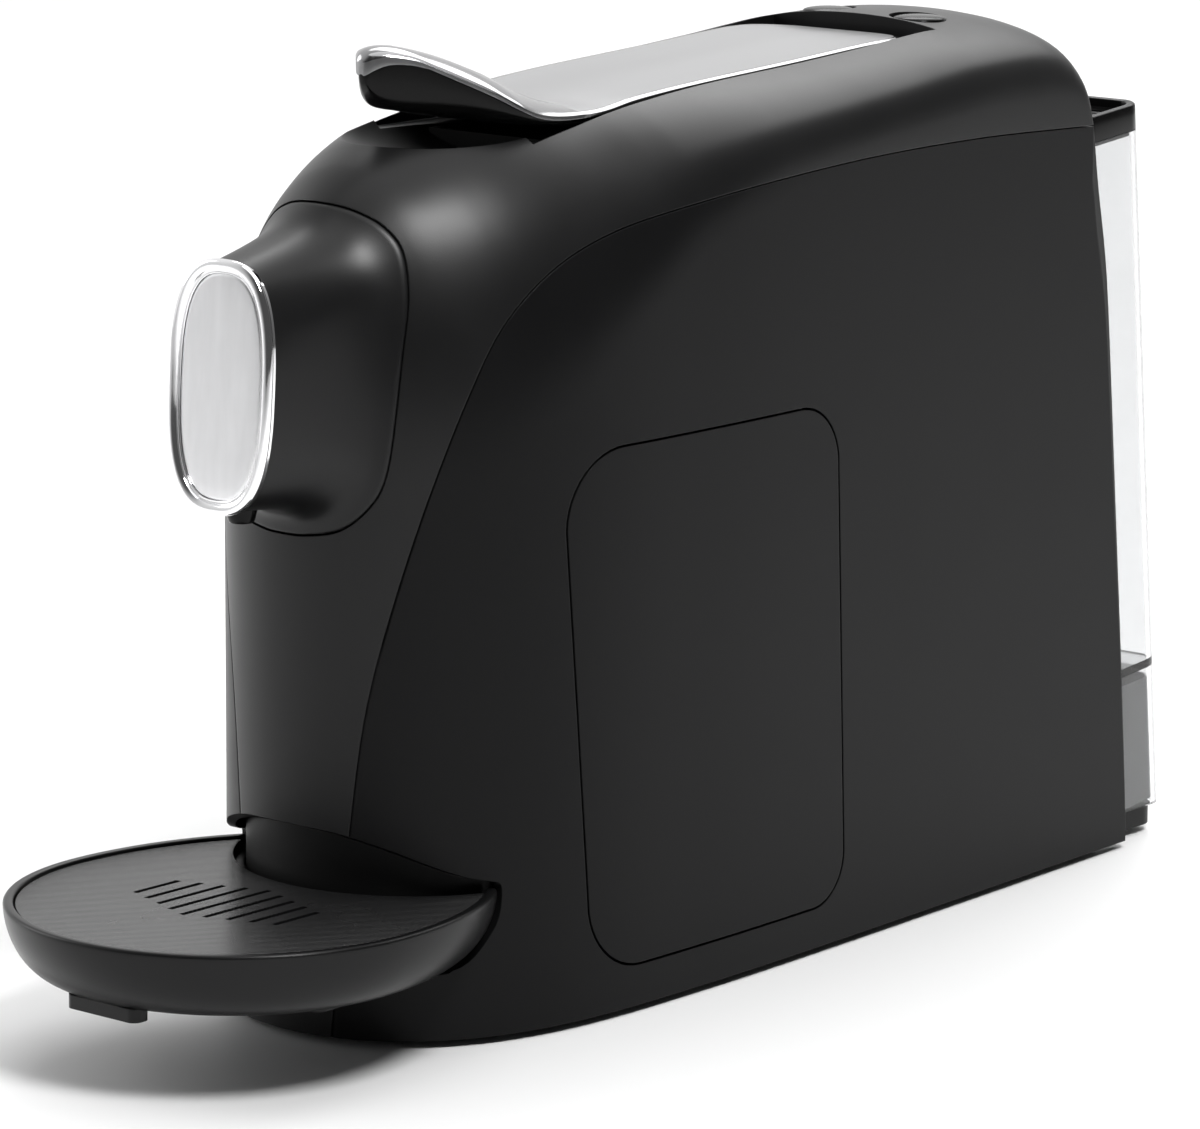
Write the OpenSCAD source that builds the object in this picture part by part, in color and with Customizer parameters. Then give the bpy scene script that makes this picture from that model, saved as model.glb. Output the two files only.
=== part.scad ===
// Pod coffee machine, millimetres.
// Lengths along Y are measured from the spout's axis, which is also the centre of the
// round drip tray; place() moves the finished parts so that the origin lies on the table
// at the middle of the machine. The front looks towards -Y.

/* [Body] */
// Half of the body's width at its widest
body_half_w = 53.1; // [50:0.1:56]
// Distance from the spout's axis back to the front of the body
body_front = 17.6; // [16:0.1:19]
// Length of the rounded front in plan
nose_len = 105.6; // [100:0.1:110]
// Rear of the body at table height
body_back = 323; // [322:1:325]
// Height of the top of the body
body_top = 243; // [242:0.5:244]
// Wall of the plastic shells
wall = 2.2; // [2:0.1:2.4]
// Gap at the seams between shells
seam = 0.4; // [0.3:0.1:0.6]
// Height of the shells' lower edges above the table
skirt_z = 2; // [1.5:0.5:2]

/* [Lever] */
// Half of the lever's width
lever_half_w = 27; // [26:0.5:27.5]
// Distance back to the lever's hinge
hinge_y = 238; // [237:1:239]
// Height of the lever's hinge
hinge_z = 231; // [230.5:0.5:231.5]
// Radius of the lever's hinge pin
hinge_r = 2.5; // [2:0.1:3]

/* [Brew group] */
// Height of the brewing axis
brew_z = 182; // [181:1:183]
// Radius of the pod's chamber
pod_r = 19; // [18.5:0.5:19]
// Length of the piston's stroke
piston_stroke = 34.4; // [34:0.1:35]
// Gear module
gear_m = 1.5; // [1.5]
// Teeth on a whole sector wheel
sector_teeth = 35; // [35]
// Teeth on the idler
idler_teeth = 12; // [12]

/* [Head] */
// Height of the badge's centre
badge_z = 170; // [169:1:171]
// Width of the badge
badge_w = 34.5; // [32:0.5:36]
// Height of the badge
badge_h = 63.5; // [62:0.5:65]
// Forward lean of the badge's lower edge, degrees
badge_tilt = 3.7; // [3:0.1:4.5]
// Width of the head cover's flange
head_w = 57.6; // [56:0.2:60]
// Height of the head cover's flange
head_h = 83.6; // [82:0.2:86]
// Height of the flange's centre above the table
head_z = 172.2; // [171:0.1:173]

/* [Drip tray] */
// Radius of the tray's rim
tray_r = 58.5; // [58:0.5:59]
// Height of the tray's rim
tray_z = 40.4; // [40:0.1:41]
// Height of the tray's flat underside
tray_floor_z = 22; // [21.5:0.5:22.5]

/* [Pod drawer] */
// Top of the drawer's front panel
drawer_top = 150; // [148:1:151]
// Bottom of the drawer's front panel
drawer_bottom = 12.7; // [12:0.1:14]
// Slope of the drawer panel's upright edges, degrees
drawer_slant = 3.4; // [3:0.1:3.6]

/* [Water tank] */
// Half of the tank's width
tank_half_w = 40; // [38:0.5:40.5]
// Depth of the tank, front to back
tank_depth = 31; // [30:0.5:31]
// Forward lean of the tank, degrees
tank_lean = 5.35; // [5.2:0.05:5.4]
// Back of the tank's lower edge
tank_back = 350.5; // [350:0.5:352]
// Wall of the tank
tank_wall = 2; // [1.6:0.1:2.2]

/* [Hidden] */
$fn = 48;

tank_top = 208;                 // length of the tank along its leaning axis
foot_z = 8;                     // height of the shelf that the tank stands on
place_y = -(tank_back - tray_r) / 2;
seam_pts = [[20, -20], [20, 0], [21.5, 50], [24.5, 95], [32, 136], [42, 166], [56, 187],
    [80, 201], [120, 208.5], [180, 212.5], [240, 213], [298, 211]];
top_pts = [[body_front, 190], [19, 199], [26, 209], [37, 217.5], [47, 223], [56, 227],
    [66, 229], [80, 230], [96, 230.4], [110, 231], [123, 232.2], [148, 234.2], [187, 236.4],
    [215, 238.2], [232, 240], [244, 242.2], [256, body_top], [272, body_top], [286, 240.5],
    [293, 234], [296, 225], [297.5, 211]];
back_pts = [[300, 196], [305, 173], [308, 150], [313, 103], [318, 56], [body_back - 2, 24],
    [body_back, -20]];
lever_pts = [[46.6, 247.2], [49, 248.8], [53, 249.9], [58.5, 248.3], [66, 244.5], [76, 239.3],
    [85, 235.8], [92, 233.6], [100, 232], [110, 231.4], [123, 233], [148, 234.9], [187, 237],
    [225, 239.2], [243.5, 238.9]];
// right half of the tongue's plan
tip_pts = [[0, 46.6], [3, 48.2], [6, 51.4], [10, 56.6], [14, 61.2], [17.5, 65.2], [21, 69.3],
    [24.3, 73.4], [26.4, 77.2], [lever_half_w, 82]];

gear_pa = 25;                                   // pressure angle
gear_add = 0.8 * gear_m;                        // addendum
gear_ded = 1.1 * gear_m;                        // dedendum
sector_r = gear_m * sector_teeth / 2;
idler_r = gear_m * idler_teeth / 2;
idler_z = hinge_z - sector_r - idler_r;
rack_z = idler_z - idler_r;
piston_y = 94;                                  // front face of the closed piston
chamber_y = 60;                                 // front of the chamber
frame_x = 23.2;                                 // inner face of the brew frame's plates
frame_t = 3;
spout_y = 2.5;                                  // axis of the coffee's down pipe
head_r = 22;                                    // corner radius of the head cover's flange
neck_y = 14;                                    // where the head's neck starts to flare
neck_w = 38.5;
neck_h = 67;
button_x = 15.6;
button_y = 256.4;
button_r = 7.5;
board_z = 224;
channel_half_w = lever_half_w + 1.2;
channel_z = 224.5;
channel_back = 248;
post_x = 37;                                    // posts that carry the brew frame
post_ys = [64, 185];
recess_y = 66.5;                                // axis of the round wall behind the tray
recess_r = 43.4;                                // radius of that wall
tray_stretch = 1.27;                            // lengthening of the tray's rear half
tray_end = 48.5;                                // rear ends of the tray's horns
valve_y = -15.5;                                // valve's axis, in the tank's own frame
flap_y = -8.5;                                  // flap's hinge, in the tank's own frame
flap_z = tank_top - 4.4;
pump_x = -22;
pump_z = 34;
boiler_x = 19;
boiler_y = 226;

// ---- curves -------------------------------------------------------------------------

function mix4(a, b, c, d, t) =
    0.5 * ((2 * b) + (c - a) * t + (2 * a - 5 * b + 4 * c - d) * t * t
    + (3 * b - a - 3 * c + d) * t * t * t);
// Smooth curve through points, n steps between neighbours
function smooth(p, n) = [for (i = [0 : len(p) - 2]) for (k = [0 : n - 1])
    mix4(p[max(i - 1, 0)], p[i], p[i + 1], p[min(i + 2, len(p) - 1)], k / n),
    p[len(p) - 1]];
// Half width of the body at a distance y behind the spout's axis
function half_w(y) = let (s = min(max((y - body_front) / nose_len, 0), 1))
    y > body_front + nose_len ? body_half_w - 0.0385 * (y - body_front - nose_len)
    : body_half_w * pow(1 - pow(1 - s, 3.5), 1 / 2.04);

module place() { translate([0, place_y, 0]) children(); }
// Turns a drawing of (Y, Z) into a plate that is spread along X
module side_cut(w) { rotate([90, 0, 90]) translate([0, 0, -w]) linear_extrude(2 * w) children(); }
// Turns a drawing of (X, Z) into a plate that is spread along Y, from y0 to y1
module front_cut(y0, y1) { translate([0, y1, 0]) rotate([90, 0, 0]) linear_extrude(y1 - y0) children(); }
// Rounded rectangle
module slab(w, h, r) {
    hull() for (i = [-1, 1], j = [-1, 1]) translate([i * (w / 2 - r), j * (h / 2 - r)]) circle(r);
}
// Frame of the leaning tank: its origin is at the tank's lower rear edge
module leaning() { translate([0, tank_back, foot_z]) rotate([tank_lean, 0, 0]) children(); }
module rod(r, h) { cylinder(r = r, h = h); }
module along_x(x0, x1, r) { translate([x0, 0, 0]) rotate([0, 90, 0]) cylinder(r = r, h = x1 - x0); }
module along_y(y0, y1, r) { translate([0, y1, 0]) rotate([90, 0, 0]) cylinder(r = r, h = y1 - y0); }

// ---- body solid, shared by the shells -----------------------------------------------

module plan(inset) {
    ys = [for (i = [0 : 26]) body_front + nose_len * pow(i / 26, 1.9)];
    offset(delta = -inset) polygon(concat(
        [for (y = ys) [half_w(y), y]],
        [[half_w(body_back), body_back], [-half_w(body_back), body_back]],
        [for (i = [26 : -1 : 1]) [-half_w(ys[i]), ys[i]]]));
}
module side_outline(inset) {
    offset(delta = -inset) polygon(concat([[body_front, -20]], smooth(top_pts, 3), smooth(back_pts, 2)));
}
module front_outline(inset) {
    top = [for (a = [0 : 7.5 : 180]) [body_half_w * sign(cos(a)) * pow(abs(cos(a)), 0.62),
        192 + (body_top - 192) * pow(sin(a), 0.78)]];
    offset(delta = -inset) polygon(concat([[body_half_w, -20]], top, [[-body_half_w, -20]]));
}
module body_solid(inset) {
    intersection() {
        translate([0, 0, -20]) linear_extrude(300) plan(inset);
        side_cut(80) side_outline(inset);
        front_cut(0, 400) front_outline(inset);
    }
}
// Everything below and behind the seam of the side panels
module below_seam(grow) {
    side_cut(80) offset(delta = grow) polygon(concat(smooth(seam_pts, 3), [[400, 211], [400, -20]]));
}
module body_skin() { difference() { body_solid(0); body_solid(wall); } }
// Opening in the front of the body that the tray slides into
module tray_notch(grow) {
    side_cut(80) offset(delta = grow) polygon([[-10, 19], [32, 19.2], [38, 20.2], [42, 22.6],
        [46, 27.6], [48.8, 33], [49.6, 40], [48.6, 42], [46.5, 42.6], [40.6, 44.2], [33.4, 47.6],
        [24.5, 52.8], [16, 57], [-10, 66]]);
}
module above_table() { translate([-100, -100, skirt_z]) cube([200, 600, 300]); }
// Outline of the drawer's panel in the side view
module drawer_outline(inset) {
    mid_z = (drawer_top + drawer_bottom) / 2;
    lean = tan(drawer_slant);
    offset(delta = -inset) hull() {
        translate([90.5 - lean * (130 - mid_z), 130]) circle(20);
        translate([92.5 - lean * (32.7 - mid_z), 32.7]) circle(20);
        translate([163.5 - lean * (133 - mid_z), 133]) circle(17);
        translate([165 - lean * (26.7 - mid_z), 26.7]) circle(14);
    }
}

// ---- body shells --------------------------------------------------------------------

module base_frame() {
    color("#1c1c1e") place() {
        difference() {
            union() {
                translate([0, 0, 3]) linear_extrude(3) floor_plan(wall + 0.8);
                difference() {
                    translate([0, 0, 5.9]) linear_extrude(5.6) floor_plan(wall + 0.8);
                    translate([0, 0, 5]) linear_extrude(20) floor_plan(wall + 2.8);
                }
                // rails that the drawer slides on
                for (y = [80, 166]) translate([-42, y, 5.9]) cube([86, 4, 7]);
                // posts of the brew frame, and of the boiler
                for (s = [-1, 1], y = post_ys) translate([s * post_x, y, 5.9]) rod(3.2, 150);
            }
            for (x = [-30, -10, 10, 30], y = [200, 250, 290]) translate([x, y, 2]) rod(2, 6);
            translate([-44, 300, 12]) along_x(-5, 5, 6.4);
            tray_notch(1);
        }
    }
}
module floor_plan(inset) {
    intersection() {
        plan(inset);
        translate([-60, 0]) square([120, 315]);
    }
}
module central_shell() {
    color("#3a3a3c") place() {
        difference() {
            union() {
                intersection() { body_skin(); above_table(); }
                // walls and floor of the lever's channel
                intersection() {
                    translate([-channel_half_w - 1.6, 42, channel_z - 2])
                        cube([2 * channel_half_w + 3.2, channel_back - 40.8, 30]);
                    body_solid(0.1);
                }
            }
            below_seam(seam);
            translate([-channel_half_w, 30, channel_z]) cube([2 * channel_half_w, channel_back - 30, 30]);
            // pod slot, gear slot and the two slots for the hinge's ears
            translate([-19, 93, 210]) cube([38, 35, 20]);
            translate([-5.5, 204, 210]) cube([11, 48, 20]);
            for (s = [-1, 1]) translate([s * 21.7 - 2.2, 229, 210]) cube([4.4, 18, 20]);
            for (s = [-1, 1]) translate([s * button_x, button_y, 230]) rod(button_r + 0.35, 20);
            front_cut(-20, 60) translate([0, head_z])
                slab(head_w + 2 * seam, head_h + 2 * seam, head_r + seam);
            tray_notch(0);
            translate([-60, 0, -1]) cube([120, 60, 31]);
        }
    }
}
// Strip of the front below the tray
module front_skirt() {
    color("#3a3a3c") place() difference() {
        intersection() { body_skin(); above_table(); }
        below_seam(seam);
        translate([-60, 0, 18.8]) cube([120, 400, 300]);
    }
}
module side_skin() {
    intersection() {
        difference() {
            translate([0, 0, skirt_z]) linear_extrude(230) difference() { plan(0); plan(wall); }
            tray_notch(0);
            translate([-1, 300, 0]) cube([44.1, 200, 300]);
        }
        below_seam(0);
        side_cut(80) side_outline(0);
        front_cut(0, 400) front_outline(0);
        translate([5, 0, 0]) cube([80, 400, 300]);
    }
}
module side_panel_right() {
    color("#242426") place() difference() {
        side_skin();
        translate([40, 0, 0]) side_cut(20) drawer_outline(0);
    }
}
module side_panel_left() {
    color("#242426") place() difference() {
        mirror([1, 0, 0]) side_skin();
        translate([0, 300, 12]) along_x(-60, 0, 6.4);
    }
}
module rear_panel() {
    color("#202022") place() difference() {
        leaning() translate([-42.4, -tank_depth - 3.7, 4]) cube([84.8, wall, 190]);
        leaning() for (i = [0 : 7]) translate([-24, -50, 120 + 8 * i]) cube([48, 40, 3]);
        translate([0, 310, 20]) along_y(-30, 30, 6.2);
    }
}
module tray_recess() {
    color("#151516") place() difference() {
        intersection() {
            translate([0, 0, 12]) linear_extrude(46) plan(wall + 0.3);
            translate([-60, 0, 0]) cube([120, recess_y, 100]);
        }
        translate([0, recess_y, 0]) rod(recess_r - 2, 100);
        difference() {
            translate([-60, 0, 18.4]) cube([120, 100, 37.6]);
            translate([0, recess_y, 0]) rod(recess_r, 100);
        }
        // way through for the tray's bracket
        translate([-10.6, 0, 19]) cube([21.2, 66, 3]);
        translate([-10.6, 20, 0]) cube([21.2, 46, 22]);
    }
}

// ---- head ---------------------------------------------------------------------------

module head_slice(y, w, h, tilt) {
    translate([0, y, badge_z]) rotate([90 - tilt, 0, 0]) linear_extrude(0.2)
        slab(w, h, min(w, h) / 2 - 0.6);
}
module head_neck(inset) {
    hull() {
        head_slice(-2.5 - 0.3 * inset, badge_w - 1 - 2 * inset, badge_h - 1.5 - 2 * inset, badge_tilt);
        head_slice(neck_y, neck_w - 2 * inset, neck_h - 2 * inset, badge_tilt);
    }
    hull() {
        head_slice(neck_y - 0.1, neck_w - 2 * inset, neck_h - 2 * inset, badge_tilt);
        head_slice(26, 50 - 2 * inset, 76 - 2 * inset, 0);
    }
}
module head_cover() {
    color("#303032") place() difference() {
        union() {
            intersection() {
                body_skin();
                front_cut(-20, 60) translate([0, head_z]) slab(head_w, head_h, head_r);
            }
            difference() {
                head_neck(0);
                body_solid(wall);
            }
        }
        head_neck(2);
        translate([0, spout_y, 120]) rod(5.4, 40);
    }
}
module badge_frame(y) { translate([0, y, badge_z]) rotate([90 - badge_tilt, 0, 0]) children(); }
module badge_bezel() {
    color("#d8d8da") place() badge_frame(-2.8) difference() {
        union() {
            linear_extrude(2) slab(badge_w - 1, badge_h - 1, badge_w / 2 - 1);
            translate([0, 0, 1.9]) linear_extrude(1.4) slab(badge_w, badge_h, badge_w / 2 - 0.5);
        }
        translate([0, 0, 1]) linear_extrude(5) slab(badge_w - 6, badge_h - 6, badge_w / 2 - 3.5);
    }
}
module badge_plate() {
    color("#c4c4c6") place() badge_frame(-2.8) translate([0, 0, 1.05]) linear_extrude(1.2)
        slab(badge_w - 6.4, badge_h - 6.4, badge_w / 2 - 3.7);
}
module spout_nozzle() {
    color("#1a1a1b") place() translate([0, spout_y, 0]) difference() {
        union() {
            translate([0, 0, 135.5]) rod(4.6, 10);
            translate([0, 0, 145.4]) rod(6.2, 3);
        }
        translate([0, 0, 130]) rod(2.6, 30);
        translate([0, 0, 142.4]) rod(4.05, 10);
    }
}
module coffee_duct() {
    color("#4a4a4c") place() difference() {
        union() {
            translate([0, spout_y, 142.5]) rod(4, brew_z - 138.5);
            translate([0, 0, brew_z]) along_y(spout_y, chamber_y, 4);
        }
        translate([0, spout_y, 140]) rod(2.6, brew_z - 140);
        translate([0, 0, brew_z]) along_y(spout_y, chamber_y + 1, 2.6);
    }
}

// ---- drip tray ----------------------------------------------------------------------

module bowl_profile(inset) {
    h = tray_z - tray_floor_z;
    polygon(concat([[0, inset]], [for (a = [0 : 9 : 90])
        [43 - inset + (tray_r - 43) * pow(sin(a), 0.8), inset + (h - inset) * (1 - pow(cos(a), 1.15))]],
        [[tray_r - inset, h], [tray_r - inset, h + inset * 4], [0, h + inset * 4]]));
}
module bowl() {
    translate([0, 0, tray_floor_z]) {
        rotate([0, 0, 180]) rotate_extrude(angle = 180, $fn = 96) bowl_profile(0);
        scale([1, tray_stretch, 1]) rotate_extrude(angle = 180, $fn = 96) bowl_profile(0);
    }
}
// Plan of the tray, inset from its rim
module tray_plan(inset) {
    offset(delta = -inset) difference() {
        polygon([for (a = [0 : 5 : 355])
            [tray_r * cos(a), tray_r * sin(a) * (a < 180 ? tray_stretch : 1)]]);
        translate([0, recess_y]) circle(recess_r + 0.5, $fn = 96);
        translate([-80, tray_end]) square([160, 60]);
    }
}
module drip_tray() {
    color("#2c2c2e") place() difference() {
        union() {
            bowl();
            translate([-12, -49, tray_floor_z - 2.5]) cube([24, 6, 2.6]);
            for (s = [-1, 1]) translate([s * 36 - 3, -12, tray_floor_z - 2.5]) cube([6, 24, 2.6]);
        }
        // basin, and the seat of the grille
        difference() {
            translate([0, 0, tray_floor_z + 2]) rod(49, 40);
            translate([0, recess_y, 0]) rod(recess_r + 2.9, 100);
        }
        translate([0, 0, tray_z - 3.4]) linear_extrude(10) tray_plan(2.6);
        translate([0, recess_y, 0]) rod(recess_r + 0.5, 100, $fn = 96);
        translate([-80, tray_end, 0]) cube([160, 60, 100]);
    }
}
module drip_grille() {
    color("#39393b") place() difference() {
        translate([0, 0, tray_z - 3.35]) linear_extrude(2.4) tray_plan(2.9);
        for (i = [-4 : 4]) translate([i * 6 - 0.9, -20 + abs(i) * 2, 30])
            cube([1.8, 32 - abs(i) * 4, 20]);
    }
}
module tray_bracket() {
    color("#2a2a2c") place() {
        translate([-10, 2, 19.4]) cube([20, 40, 2.2]);
        translate([-10, 39.9, 6.05]) cube([20, 3, 15.55]);
        translate([-10, 34, 6.05]) cube([20, 8, 3]);
    }
}

// ---- pod drawer ---------------------------------------------------------------------

module drawer_front() {
    color("#242426") place() intersection() {
        linear_extrude(200) difference() { plan(0); plan(wall); }
        translate([40, 0, 0]) side_cut(20) drawer_outline(0.7);
    }
}
module pod_drawer() {
    color("#333335") place() difference() {
        intersection() {
            translate([-41, 60, 13.3]) cube([91.2, 130, 128.3]);
            side_cut(60) drawer_outline(1.4);
        }
        intersection() {
            translate([-39, 60, 15.3]) cube([87.2, 130, 150]);
            side_cut(60) drawer_outline(3.4);
        }
        linear_extrude(200) difference() {
            translate([30, 0]) square([40, 200]);
            plan(wall + 0.05);
        }
        // low inner end, so that pods fall in
        translate([-45, 60, 118]) cube([60, 140, 40]);
    }
}
module drawer_grid() {
    color("#2a2a2c") place() difference() {
        union() {
            intersection() {
                translate([-38, 60, 26]) cube([84, 130, 2.4]);
                side_cut(60) drawer_outline(3.8);
            }
            for (x = [-30, 38], y = [94, 156]) translate([x, y, 16.15]) cube([4, 4, 9.95]);
        }
        for (i = [0 : 5], j = [0 : 5])
            if ((i > 0 && i < 5) || (j > 0 && j < 5))
                translate([-33 + i * 13.4, 84 + j * 13.6, 20]) cube([8, 8, 20]);
    }
}
module drawer_catch() {
    color("#b8b8ba") place() difference() {
        translate([-46.6, 118, 20]) cube([4, 16, 14]);
        translate([-45.4, 117, 22]) cube([4, 18, 10]);
    }
}

// ---- lever --------------------------------------------------------------------------

module lever_plan(inset) {
    offset(delta = -inset) polygon(concat(
        [for (i = [len(tip_pts) - 1 : -1 : 1]) [-tip_pts[i][0], tip_pts[i][1]]], tip_pts,
        [[lever_half_w, 228]],
        [for (a = [0 : 15 : 90]) [lever_half_w - 14 + 14 * cos(a), 229 + 12.6 * sin(a)]],
        [[0, 243.5]],
        [for (a = [90 : 15 : 180]) [-lever_half_w + 14 + 14 * cos(a), 229 + 12.6 * sin(a)]],
        [[-lever_half_w, 228]]));
}
module lever_plate() {
    color("#cfcfd1") place() intersection() {
        linear_extrude(300) lever_plan(0);
        side_cut(60) difference() {
            polygon(concat([[45, 265], [45, 245.8]], [for (p = smooth(lever_pts, 3)) [p[0], p[1] - 1.4]],
                [[246, 238.7], [246, 265]]));
            polygon(concat([[43, 267], [43, 247.2]], smooth(lever_pts, 3), [[247, 240], [247, 267]]));
        }
    }
}
module lever_body() {
    color("#161617") place() difference() {
        intersection() {
            linear_extrude(300) lever_plan(0.8);
            side_cut(60) polygon(concat([[45, 240], [45, 245.7]],
                [for (p = smooth(lever_pts, 3)) [p[0], p[1] - 1.45]],
                [[246, 238.5], [246, 236], [243, 226.6], [235, 225.6], [110, 226.4], [90, 227.6],
                [70, 231.6], [56, 234]]));
        }
        translate([0, hinge_y, hinge_z]) along_x(-40, 40, hinge_r + 0.05);
        // clearance for the hinge's ears and seat of the gear sector
        for (s = [-1, 1]) translate([s * 21.7 - 2, 228, 200]) cube([4, 30, 50]);
        translate([-5.2, 206, 200]) cube([10.4, 60, 36.3]);
    }
}
module lever_pin() {
    color("#b0b0b2") place() translate([0, hinge_y, hinge_z]) along_x(-25.5, 25.5, hinge_r);
}

// ---- gears --------------------------------------------------------------------------

// Half of the tooth's angle at radius r, for a wheel with n teeth, with a little backlash
function inv(a) = tan(a) * 180 / PI - a;
function tooth_half(r, n) = let (rp = gear_m * n / 2, rb = rp * cos(gear_pa))
    90 / n + inv(gear_pa) - (r > rb ? inv(acos(rb / r)) : 0) - 0.12 / rp * 180 / PI;
// Outline of tooth number k, counted from the -Z direction of a wheel seen along +X
function tooth(k, n) = let (rp = gear_m * n / 2, r0 = rp - gear_ded - 0.2, r1 = rp + gear_add)
    [for (s = [-1, 1]) for (j = [0 : 5])
        let (q = s < 0 ? j : 5 - j, r = r0 + (r1 - r0) * q / 5,
            a = -90 + k * 360 / n + s * tooth_half(max(r, rp - gear_ded), n))
        [r * cos(a), r * sin(a)]];
module gear_teeth(n, first, last, phase) {
    for (k = [first : last]) polygon(tooth(k + phase, n));
}
module lever_sector() {
    color("#8e8e90") place() translate([0, hinge_y, hinge_z]) difference() {
        side_cut(4.5) {
            intersection() {
                circle(sector_r - gear_ded, $fn = 96);
                polygon([[0, 3.2], [-22, 3.2], [-40, -10], [-40, -60], [9, -60], [6, 0], [4, 3.2]]);
            }
            circle(5);
            gear_teeth(sector_teeth, -8, 1, 0);
        }
        along_x(-10, 10, hinge_r + 0.05);
    }
}
module idler_gear() {
    color("#d9d5c8") place() translate([0, hinge_y, idler_z]) difference() {
        side_cut(4.3) {
            circle(idler_r - gear_ded, $fn = 64);
            rotate(180) gear_teeth(idler_teeth, 0, idler_teeth - 1, 0.5);
        }
        along_x(-10, 10, 2.05);
    }
}
module idler_pin() {
    color("#b0b0b2") place() translate([0, hinge_y, idler_z]) along_x(-26, 26, 2);
}
module brew_frame() {
    color("#6a6a6c") place() difference() {
        union() {
            for (s = [0, 1]) mirror([s, 0, 0]) {
                translate([frame_x, 58, 158]) cube([frame_t, 198, 62]);
                translate([20.2, hinge_y - 4.2, 216]) cube([3.1, 8.4, hinge_z - 216]);
                translate([0, hinge_y, hinge_z]) along_x(20.2, 23.3, 4.2);
                translate([20.2, hinge_y - 4.2, 216]) cube([frame_x - 20.1, 8.4, 4]);
            }
            translate([-frame_x - 0.1, 252, 158]) cube([2 * frame_x + 0.2, 4, 14]);
            for (s = [0, 1], y = post_ys) mirror([s, 0, 0]) {
                translate([post_x, y, 156]) rod(4, 3);
                translate([frame_x + 1, y - 4, 156]) cube([post_x - frame_x - 1, 8, 3]);
            }
        }
        translate([0, hinge_y, hinge_z]) along_x(-30, 30, hinge_r + 0.02);
        translate([0, hinge_y, idler_z]) along_x(-30, 30, 2.02);
        for (y = [72, 158]) translate([0, y, 190]) along_x(-30, 30, 1.6);
        translate([-30, 96, 163]) cube([60, 36, 38]);
    }
}
module rod_guide() {
    color("#5a5a5c") place() difference() {
        translate([-frame_x, 150, 170]) cube([2 * frame_x, 16, 26]);
        translate([-6.3, 140, rack_z - gear_ded - 12.3]) cube([12.6, 40, 12.4 + gear_ded + gear_add]);
        for (s = [-1, 1]) translate([s * frame_x, 158, 190]) along_x(-9, 9, 1.6);
    }
}
module brew_piston() {
    rod_top = rack_z - gear_ded;
    color("#7c7c7e") place() {
        difference() {
            translate([0, 0, brew_z]) along_y(piston_y, piston_y + 13, pod_r - 1.2);
            translate([0, 0, brew_z]) along_y(piston_y - 1, piston_y + 1.5, pod_r - 5);
            translate([0, 0, brew_z]) difference() {
                along_y(piston_y + 4, piston_y + 7, pod_r + 2);
                along_y(piston_y + 3, piston_y + 8, pod_r - 3.2);
            }
        }
        difference() {
            translate([-6, piston_y + 12.9, rod_top - 12]) cube([12, 142, 12]);
            translate([0, piston_y + 140, rod_top - 6]) along_x(-8, 8, 1.5);
        }
        // rack
        translate([0, hinge_y, rod_top]) side_cut(4) for (k = [-9 : 2])
            polygon([for (q = [[-1, -0.05], [-1, 0], [1, 0], [1, -0.05]])
                let (up = q[1] == 0 ? gear_ded + gear_add : -0.1,
                    half = gear_m * PI / 4 - 0.12 + (gear_ded - up) * tan(gear_pa))
                [k * gear_m * PI + q[0] * half, up]]);
    }
}
module piston_seal() {
    color("#8a2f22") place() translate([0, piston_y + 5.5, brew_z]) rotate([90, 0, 0])
        rotate_extrude() translate([pod_r - 1.75, 0]) circle(1.35);
}
module brew_chamber() {
    color("#4c4c4e") place() difference() {
        union() {
            translate([0, 0, brew_z]) along_y(chamber_y, piston_y - 0.6, pod_r + 4);
            translate([-frame_x, chamber_y, brew_z - 12]) cube([2 * frame_x, 22, 24]);
        }
        translate([0, 0, brew_z]) along_y(chamber_y + 6, piston_y, pod_r);
        translate([0, 0, brew_z]) along_y(chamber_y - 1, piston_y, 2.6);
        for (s = [-1, 1]) translate([s * frame_x, 72, 190]) along_x(-3.5, 3.5, 1.6);
    }
}
module pierce_plate() {
    color("#b8b8ba") place() translate([0, 0, brew_z]) {
        difference() {
            along_y(chamber_y + 6.05, chamber_y + 7.4, pod_r - 0.4);
            for (a = [30 : 60 : 330]) rotate([0, a, 0]) translate([6, 0, 0]) along_y(0, 100, 1.2);
        }
        for (a = [0 : 60 : 300]) rotate([0, a, 0]) translate([10, chamber_y + 7.3, 0])
            rotate([-90, 0, 0]) cylinder(r1 = 1.5, r2 = 0.2, h = 4);
    }
}
module pod_chute() {
    color("#262628") place() difference() {
        translate([-18.8, 93.3, 206]) cube([37.6, 34.4, 18]);
        translate([-17.2, 94.9, 200]) cube([34.4, 31.2, 30]);
    }
}

// ---- controls -----------------------------------------------------------------------

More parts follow.
